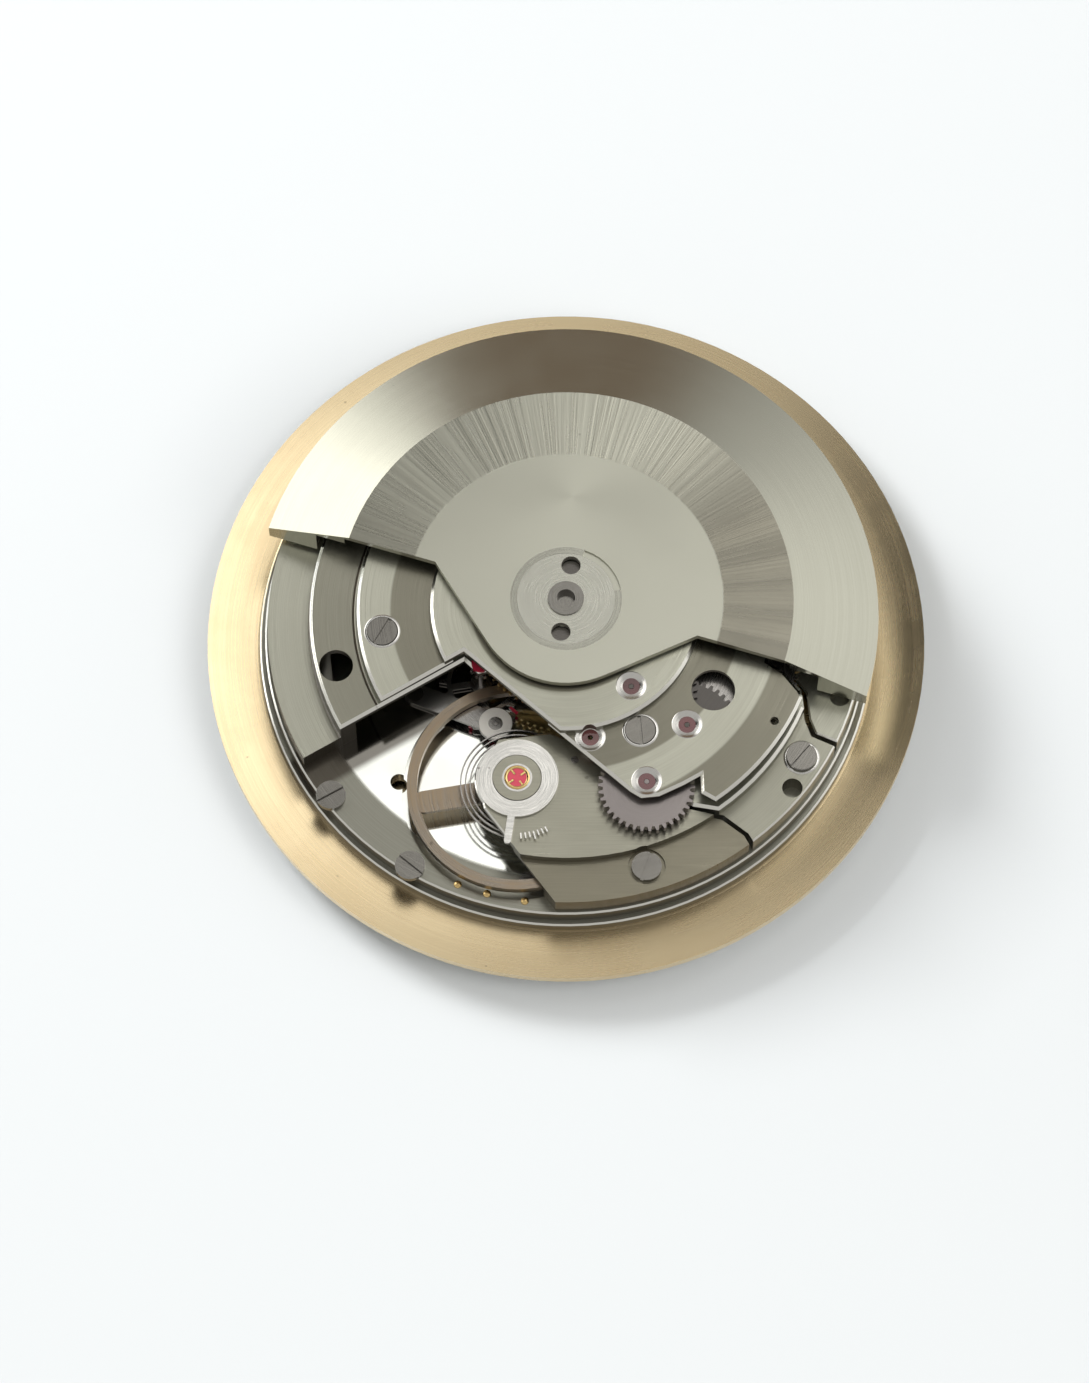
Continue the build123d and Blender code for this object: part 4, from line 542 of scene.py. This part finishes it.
def rotor_nickel(name):
    """The rotor: matt disc in the middle, sunray ring round it with a painted sheen towards one turn and
    painted shade elsewhere, satin cone outside.
    """
    finish = Finish(name, rotor_colour, matt_rough)
    tree = finish.tree
    vector = finish.around(centre)
    radius, _ = flat_radius(tree, vector)
    cone = ramp(tree, radius, *rotor_cone_start)
    ring = calc(tree, "SUBTRACT", ramp(tree, radius, *rotor_disc_end), cone)
    _, parts = flat_radius(tree, finish.around(centre, sheen_turn))
    sheen = ramp(tree, calc(tree, "DIVIDE", parts.outputs["X"], radius), *sheen_range)
    dull = calc(tree, "MULTIPLY", ring, calc(tree, "SUBTRACT", 1.0, sheen))
    fine = calc(tree, "MULTIPLY", finish.effect(sunray_grain, vector, "Streak", Lines=46.0), ring)
    wide = finish.effect(sunray_grain, vector, "Streak", Lines=9.0, Along=20.0)
    rays = calc(tree, "MULTIPLY", wide, ring)
    # Painted shade on the sunray ring away from the turn of its sheen
    finish.tint(dull, ring_shade_colour, 0.85)
    finish.tint(fine, nickel_dark, grain_tint)
    finish.tint(rays, nickel_dark, grain_tint)
    finish.polish(rays, 0.2)
    finish.raise_by(fine, 2.0 * fine_height)
    turning = finish.effect(ring_grain, vector, "Streak", Lines_per_metre=30000.0)
    round_lines = calc(tree, "MULTIPLY", turning, cone)
    finish.tint(round_lines, nickel_dark, 0.10)
    finish.polish(cone, 0.2)
    finish.raise_by(round_lines, 0.6 * fine_height)
    aged(finish, amount=0.3, specks=0.3, rough=0.04)
    return finish.done(anisotropy=0.3)


def steel(name, colour=steel_colour, roughness=0.2, grain=0.15, grain_centre=centre):
    """Polished steel with faint ring grain."""
    finish = Finish(name, colour, roughness)
    streak = finish.effect(ring_grain, finish.around(grain_centre), "Streak")
    grained(finish, streak, tint=grain, rough=0.06, height=0.6 * fine_height)
    aged(finish, amount=0.5, specks=0.8)
    return finish.done()


def brass(name, colour=brass_colour, roughness=0.26, grain_centre=centre):
    """Gilt brass with ring grain and a little tarnish in clouds."""
    finish = Finish(name, colour, roughness)
    grained(finish, finish.effect(ring_grain, finish.around(grain_centre), "Streak"), gilt_deep, tint=0.22)
    finish.tint(aged(finish, amount=0.5, specks=0.8), gilt_deep, 0.25)
    return finish.done()


def gilt(name):
    """The dial: satin gilt behind, with fine ring lines and dull clouds, and a pale sunray front."""
    finish = Finish(name, gilt_colour, 0.25)
    vector = finish.around(centre)
    streak = finish.effect(ring_grain, vector, "Streak", Lines_per_metre=14000.0)
    grained(finish, streak, gilt_deep, tint=0.09, rough=0.02, height=0.12 * fine_height)
    finish.tint(aged(finish, amount=0.4, specks=0.6, rough=0.02), gilt_deep, 0.12)
    parts = finish.tree.nodes.new("ShaderNodeSeparateXYZ")
    feed(finish.tree, parts.inputs[0], finish.places.outputs["Normal"])
    front = ramp(finish.tree, calc(finish.tree, "MULTIPLY", parts.outputs["Z"], -1.0), *front_range)
    finish.tint(front, dial_front_colour)
    rays = finish.effect(sunray_grain, vector, "Streak", Lines=60.0)
    finish.tint(calc(finish.tree, "MULTIPLY", rays, front), gilt_colour, 0.3)
    return finish.done(anisotropy=0.3, turned=0.25)


def ruby(name, colour=ruby_colour, light=ruby_light):
    """Synthetic ruby: deep red glass."""
    finish = Finish(name, colour, 0.08, metallic=0.0)
    cloud = finish.effect(age, finish.around(centre), "Cloud")
    finish.tint(cloud, light, 0.5)
    finish.roughen(cloud, 0.03)
    finish.shader.inputs["Transmission Weight"].default_value = ruby_clearness
    finish.shader.inputs["IOR"].default_value = ruby_index
    finish.shader.inputs["Specular IOR Level"].default_value = 0.3
    finish.shader.inputs["Coat Weight"].default_value = 0.1
    return finish.done()


# Looks of single nodes, and looks of the others by their material slot. The numbers given to steel and brass
# are their roughness, and for steel then how strongly its grain shows
# Near-black steel for both reverser wheels. On the first, a brass wheel deep in a hole of the auto bridge,
# the dark colour is painted shade
shade_darkened = steel("burnished steel", dark_steel, matt_rough)
looks = {
    "dial": gilt("gilt dial"),
    "main_plate": polished_plate("plate nickel"),
    "auto_bridge": striped_nickel("striped nickel", auto_stripes, 0.85),
    "train_bridge": striped_nickel("train bridge nickel", train_stripes, 0.6, train_shade_and_glint_lines, wall_shade=0.92),
    "barrel_bridge": striped_nickel("barrel bridge nickel", barrel_stripes, 0.35),
    "side_plate": plain_nickel("side plate nickel", turn=60.0),
    "balance_cock": cock_nickel("cock nickel"),
    "pallet_bridge": steel("washer steel", pallet_steel, 0.18),
    "rotor_weight": rotor_nickel("sunray nickel"),
    "rotor_hub": steel("hub nickel", hub_colour, 0.25, 0.1),
    "rotor_clip": steel("clip steel", clip_colour, 0.16, 0.05),
    "rotor_bearing": steel("dark bearing steel", dark_steel, 0.25),
    "first_reverser": shade_darkened,
    "second_reverser": shade_darkened,
    "reduction_wheel": steel("pink steel", pink_steel, 0.28, 0.1, reduction_point),
    "auto_jewels": ruby("smoked ruby", smoked_ruby, smoked_light),
    "shock_setting": steel("silver ring", silver_colour, polished_rough, 0.05, balance_point),
    "regulator": steel("regulator steel", bright_steel, polished_rough, 0.08, balance_point),
}
shared_looks = {
    "steel": steel("polished steel"),
    "screw_steel": steel("screw steel", screw_colour, 0.16, 0.1),
    "brass": brass("gilt brass"),
    "balance_alloy": brass("balance alloy", balance_colour, 0.24, balance_point),
    "ruby": ruby("ruby"),
    "nickel": plain_nickel("inner nickel"),
    "rotor_nickel": looks["rotor_weight"],
    "gilt": looks["dial"],
}

# Looks of the trim pieces
polished = steel("mirror steel", bright_steel, mirror_rough, 0.04)
washer_look = Finish("matt washer", washer_colour, 0.35, metallic=0.35).done()
spring_look = brass("shock spring gold", gold_colour, polished_rough, balance_point)
baton_look = brass("baton gold", gold_colour, 0.12)
ink = Finish("track ink", ink_colour, 0.45, metallic=0.0)
ink.tint(ink.effect(age, ink.around(centre), "Cloud"), grime_and_shade_colour, 0.4)
ink_look = ink.done()

slot_of = {part["node"]: part["material_slot"] for part in frame["record"]["subparts"]}
for name, node in nodes.items():
    look = looks.get(name) or shared_looks[slot_of[name]]
    node.data.materials.clear()
    node.data.materials.append(look)


# Small trim that stands on the CAD parts

smooth_limit = math.radians(40.0)


def surface(name, points, faces, look, body, slot):
    """A mesh object from (n, 3) points and (m, 4) corner numbers, riding on a body."""
    points = np.asarray(points, np.float32)
    faces = np.asarray(faces, np.int32)
    mesh = bpy.data.meshes.new(name)
    mesh.vertices.add(len(points))
    mesh.vertices.foreach_set("co", points.ravel())
    mesh.loops.add(faces.size)
    mesh.loops.foreach_set("vertex_index", faces.ravel())
    mesh.polygons.add(len(faces))
    mesh.polygons.foreach_set("loop_start", np.arange(0, faces.size, 4, dtype=np.int32))
    mesh.update(calc_edges=True)
    mesh.validate()
    shell = bmesh.new()
    shell.from_mesh(mesh)
    bmesh.ops.recalc_face_normals(shell, faces=shell.faces[:])
    shell.to_mesh(mesh)
    shell.free()
    mesh.polygons.foreach_set("use_smooth", np.ones(len(mesh.polygons), bool))
    mesh.set_sharp_from_angle(angle=smooth_limit)
    mesh.materials.append(look)
    piece = bpy.data.objects.new(name, mesh)
    bpy.context.scene.collection.objects.link(piece)
    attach(piece, body)
    return piece


def joined(shapes):
    """Several (points, faces) pairs as one pair."""
    points, faces, count = [], [], 0
    for part_points, part_faces in shapes:
        points.append(part_points)
        faces.append(part_faces + count)
        count += len(part_points)
    return np.concatenate(points), np.concatenate(faces)


def turned(place, profile, steps=72):
    """A closed profile of (radius, height) pairs turned about an upright axis at a place:
    x = place x + radius * cos(turn), y = place y + radius * sin(turn), z = height."""
    radius, height = np.array(profile, float).T
    turn = np.linspace(0.0, 2.0 * np.pi, steps, endpoint=False)[:, None]
    x = place[0] + radius * np.cos(turn)
    y = place[1] + radius * np.sin(turn)
    z = np.broadcast_to(height, x.shape)
    count = len(profile)
    step, side = np.meshgrid(np.arange(steps), np.arange(count), indexing="ij")
    next_step, next_side = (step + 1) % steps, (side + 1) % count
    faces = np.stack([step * count + side, next_step * count + side,
                      next_step * count + next_side, step * count + next_side], axis=-1)
    return np.stack([x, y, z], axis=-1).reshape(-1, 3), faces.reshape(-1, 4)


def block(start, end, width, low, high, edge):
    """A straight bar in plan, its top drawn in by an edge width: three rings of four corners, each corner at
    the start or the end, plus or minus half the width across."""
    start, end = np.array(start, float), np.array(end, float)
    along = (end - start) / np.linalg.norm(end - start)
    across = np.array([-along[1], along[0]])
    rings = []
    for inset, height in ((0.0, low), (0.0, high - np.sign(high - low) * edge), (edge, high)):
        half = width / 2.0 - inset
        corners = [start + along * inset - across * half, end - along * inset - across * half,
                   end - along * inset + across * half, start + along * inset + across * half]
        rings += [[corner[0], corner[1], height] for corner in corners]
    faces = [[0, 1, 2, 3], [11, 10, 9, 8]]
    for ring in (0, 4):
        faces += [[ring + k, ring + (k + 1) % 4, ring + 4 + (k + 1) % 4, ring + 4 + k] for k in range(4)]
    return np.array(rings), np.array(faces)


def polar(distance, angle, origin=centre):
    """The point at a distance and an angle in degrees from an origin."""
    return (origin[0] + distance * math.cos(math.radians(angle)),
            origin[1] + distance * math.sin(math.radians(angle)))


def raised(steps, low):
    """A profile of (radius, height) pairs in millimetres as metres, above a level."""
    return [(radius * MM, low + height * MM) for radius, height in steps]


def spoke(inner, outer, angle, origin, width, low, high, edge):
    """A block that lies along a radius, from an inner to an outer distance."""
    return block(polar(inner, angle, origin), polar(outer, angle, origin), width, low, high, edge)


# Jewel sinks of the auto bridge, one of them spare
spare_sink = (0.998 * MM, -5.76 * MM)
sink_radius = 0.575 * MM
sink_depth = 0.066 * MM
sink_inner = 0.36 * MM
sink_rings = 7
lip_steps = ((0.03 * MM, 0.012 * MM), (0.06 * MM, -0.001 * MM), (0.0, -0.02 * MM))


def sink(place, top):
    """A polished dish round a jewel: height = top - depth * cos(share of the way out), with a small lip."""
    share = np.linspace(0.0, 1.0, sink_rings)
    radius = sink_inner + (sink_radius - sink_inner) * share
    height = top - sink_depth * np.cos(share * np.pi / 2.0)
    lip = [(sink_radius + out, top + rise) for out, rise in lip_steps]
    return turned(place, list(zip(radius, height)) + lip)


surface("jewel_sinks", *joined([
    sink(middle_of("first_reverser"), auto_top), sink(middle_of("second_reverser"), auto_low_top),
    sink(reduction_point, auto_low_top), sink(spare_sink, auto_low_top)]), polished, "movement", "steel")

# Fine polished rings round three screws: (place, level), and the ring's (radius, height) in millimetres
collared_screws = (
    ((-7.58 * MM, -1.08 * MM), auto_low_top),
    ((3.05 * MM, -5.466 * MM), auto_low_top),
    ((9.70 * MM, -6.054 * MM), foot_top))
collar_steps = ((0.635, 0.0), (0.65, 0.02), (0.70, 0.024), (0.745, 0.001), (0.745, -0.02), (0.635, -0.02))
collar_shapes = [turned(place, raised(collar_steps, low)) for place, low in collared_screws]
surface("screw_collars", *joined(collar_shapes), polished, "movement", "steel")

# Matt washer on the pallet bridge, under the balance
washer_place = (-2.915 * MM, -4.232 * MM)
washer_steps = ((0.30, 0.0), (0.30, 0.03), (0.68, 0.03), (0.70, 0.01), (0.70, 0.0))
surface("pallet_washer", *turned(washer_place, raised(washer_steps, pallet_top)),
        washer_look, "movement", "steel")

# Shock spring: a gold ring with four arms over the balance jewel
spring_high = shock_top + 0.03 * MM
spring_shoulder = spring_high - 0.01 * MM
spring_inner = 0.40 * MM
spring_outer = 0.53 * MM
spring_bevel = 0.03 * MM
arm_inner = 0.17 * MM
arm_outer = 0.42 * MM
arm_width = 0.09 * MM
arm_edge = 0.015 * MM
arm_turns = (35.0, 125.0, 215.0, 305.0)
spring_profile = [
    (spring_inner, shock_jewel_top), (spring_inner, spring_shoulder),
    (spring_inner + spring_bevel, spring_high), (spring_outer - spring_bevel, spring_high),
    (spring_outer, spring_shoulder), (spring_outer, shock_top)]
spring_shapes = [turned(balance_point, spring_profile)]
for turn in arm_turns:
    spring_shapes.append(spoke(arm_inner, arm_outer, turn, balance_point, arm_width,
                               shock_jewel_top, spring_high, arm_edge))
surface("shock_spring", *joined(spring_shapes), spring_look, "movement", "brass")

# Regulator scale: short ticks on the cock, the middle one longer
tick_turns = np.linspace(274.0, 298.0, 7)
tick_inner = 2.42 * MM
tick_outer = 2.68 * MM
middle_tick_outer = 2.80 * MM
tick_width = 0.07 * MM
tick_top = cock_top + 0.015 * MM
tick_edge = 0.01 * MM
scale_shapes = []
for number, turn in enumerate(tick_turns):
    reach = middle_tick_outer if number == len(tick_turns) // 2 else tick_outer
    scale_shapes.append(spoke(tick_inner, reach, turn, balance_point, tick_width,
                              cock_top, tick_top, tick_edge))
surface("regulator_scale", *joined(scale_shapes), polished, "movement", "steel")

# Three pins with domed heads at the lower rim of the main plate
pin_distance = 12.1 * MM
pin_turns = (248.5, 254.5, 262.0)
pin_sides = 32
pin_steps = ((0.001, 0.12), (0.07, 0.112), (0.12, 0.09), (0.155, 0.055), (0.17, 0.0), (0.001, 0.0))
pin_profile = raised(pin_steps, plate_top)
pin_shapes = [turned(polar(pin_distance, turn), pin_profile, pin_sides) for turn in pin_turns]
surface("rim_pins", *joined(pin_shapes), spring_look, "movement", "brass")

# Dial front: twelve batons, every third one longer and wider, and a fine minute track
baton_outer = 11.6 * MM
baton_inner, baton_width = 9.2 * MM, 0.45 * MM
long_inner, long_width = 8.4 * MM, 0.75 * MM
baton_front = dial_front - 0.14 * MM
baton_edge = 0.06 * MM
track_inner = 11.9 * MM
track_outer = 12.4 * MM
track_width = 0.08 * MM
track_front = dial_front - 0.008 * MM
track_edge = 0.004 * MM
baton_shapes, track_shapes = [], []
for hour in range(12):
    inner, width = (baton_inner, baton_width) if hour % 3 else (long_inner, long_width)
    baton_shapes.append(spoke(inner, baton_outer, 30.0 * hour, centre, width,
                              dial_front, baton_front, baton_edge))
for minute in range(60):
    track_shapes.append(spoke(track_inner, track_outer, 6.0 * minute, centre, track_width,
                              dial_front, track_front, track_edge))
surface("dial_batons", *joined(baton_shapes), baton_look, "movement", "brass")
surface("minute_track", *joined(track_shapes), ink_look, "movement", "steel")

# Floor
floor_colour = (0.62, 0.65, 0.68)
floor_shade = (0.60, 0.63, 0.66)
floor_cloud_scale = 25.0
floor_reach = 0.6
floor_mesh = bpy.data.meshes.new("floor")
floor_corners = [(-floor_reach, -floor_reach, 0), (floor_reach, -floor_reach, 0),
                 (floor_reach, floor_reach, 0), (-floor_reach, floor_reach, 0)]
floor_mesh.from_pydata(floor_corners, [], [(0, 1, 2, 3)])
floor_mesh.transform(Matrix.Translation((0, 0, cad_box[0].z)))
floor = bpy.data.objects.new("floor", floor_mesh)
bpy.context.scene.collection.objects.link(floor)
floor_look = Finish("pale floor", floor_colour, 0.75, metallic=0.0)
floor_cloud = noise(floor_look.tree, floor_look.places.outputs["Object"], floor_cloud_scale)
floor_look.tint(floor_cloud, floor_shade, 0.3)
floor_mesh.materials.append(floor_look.done())

# Light: a pale room with a dim far side and several glows, and two soft lamps that show in no polished face
world = bpy.data.worlds.new("room")
world.use_nodes = True
bpy.context.scene.world = world
room = world.node_tree
background = room.nodes["Background"]
direction = room.nodes.new("ShaderNodeTexCoord").outputs["Generated"]


def glow(toward, low, high):
    """1 towards a direction of the room, falling to 0 as the cosine goes from high to low."""
    node = room.nodes.new("ShaderNodeVectorMath")
    node.operation = "DOT_PRODUCT"
    room.links.new(direction, node.inputs[0])
    node.inputs[1].default_value = Vector(toward).normalized()
    return ramp(room, node.outputs["Value"], low, high)


# The room's own level, and its glows: (direction, cosine where it starts, cosine where it is full, level)
room_level = 0.57
glows = {
    "window": ((-0.75, 0.5, 0.42), 0.80, 0.93, 1.1),
    "pane that the cone's left end mirrors": ((-0.55, 0.60, 0.58), 0.955, 0.988, 0.8),
    "low light that the left chamfers mirror": ((-0.92, 0.38, 0.06), 0.93, 0.99, 1.3),
    "right side": ((0.85, 0.25, 0.45), 0.72, 0.97, 0.6),
    "ring's left side": ((0.22, 0.38, 0.90), 0.972, 0.996, 1.7),
    "ring's right side": ((-0.24, 0.36, 0.90), 0.972, 0.996, -0.85),
    "spot that the plate's floor mirrors": ((-0.03, 0.346, 0.937), 0.9972, 0.9992, 1.1),
}
total = room_level
for toward, low, high, level in glows.values():
    total = calc(room, "ADD", total, calc(room, "MULTIPLY", glow(toward, low, high), level))

# The dim far side that the cone's top mirrors, and the room's warm tint, both for red, green and blue
dim = glow((0.0, 0.91, 0.41), 0.925, 0.99)
dim_levels = (-0.34, -0.39, -0.41)
room_tint = (1.0, 0.985, 0.935)
room_strength = 0.85
room_colour = room.nodes.new("ShaderNodeCombineColor")
for socket, share, dark in zip(room_colour.inputs, room_tint, dim_levels):
    light = calc(room, "MULTIPLY", total, share)
    feed(room, socket, calc(room, "ADD", light, calc(room, "MULTIPLY", dim, dark)))
room.links.new(room_colour.outputs[0], background.inputs["Color"])
background.inputs["Strength"].default_value = room_strength

# The point that both lamps face
lamp_aim = Vector((0.0, 0.0, 0.004))


def lamp(name, place, size, power, colour):
    """A square area lamp that faces the movement and isn't mirrored in it."""
    data = bpy.data.lights.new(name, "AREA")
    data.size = size
    data.energy = power
    data.color = colour
    thing = bpy.data.objects.new(name, data)
    thing.location = place
    thing.rotation_mode = "QUATERNION"
    thing.rotation_quaternion = (lamp_aim - Vector(place)).to_track_quat("-Z", "Y")
    thing.visible_glossy = False
    bpy.context.scene.collection.objects.link(thing)


lamp("window light", (-0.30, 0.26, 0.24), size=0.16, power=2.2, colour=(1.0, 0.99, 0.97))
lamp("fill light", (0.25, -0.15, 0.35), size=0.3, power=1.0, colour=(1.0, 0.97, 0.92))

# Camera, from the fit to the photograph: lens, tilt, two small turns, and the place above the dial seat
lens_length = 155.44
sensor_width = 36.0
clip_start = 0.01
clip_end = 5.0
tilt = math.radians(22.589)
yaw = math.radians(-0.2055)
pitch = math.radians(-0.4948)
above_seat = Vector((0.0, -96.029, 231.071)) * MM
camera_place = above_seat + Vector((0.0, 0.0, dial_seat))
ahead = Vector((0.0, math.sin(tilt), -math.cos(tilt)))
right = Vector((1.0, 0.0, 0.0))
up = right.cross(ahead)
ahead_turned = ahead * math.cos(yaw) + right * math.sin(yaw)
right_turned = right * math.cos(yaw) - ahead * math.sin(yaw)
ahead_final = ahead_turned * math.cos(pitch) + up * math.sin(pitch)
up_final = up * math.cos(pitch) - ahead_turned * math.sin(pitch)
camera_data = bpy.data.cameras.new("camera")
camera_data.lens = lens_length
camera_data.sensor_width = sensor_width
camera_data.clip_start = clip_start
camera_data.clip_end = clip_end
camera = bpy.data.objects.new("camera", camera_data)
camera_turn = Matrix((right_turned, up_final, -ahead_final)).transposed().to_4x4()
camera.matrix_world = Matrix.Translation(camera_place) @ camera_turn
bpy.context.scene.collection.objects.link(camera)
bpy.context.scene.camera = camera
bpy.context.scene.view_settings.view_transform = "Standard"
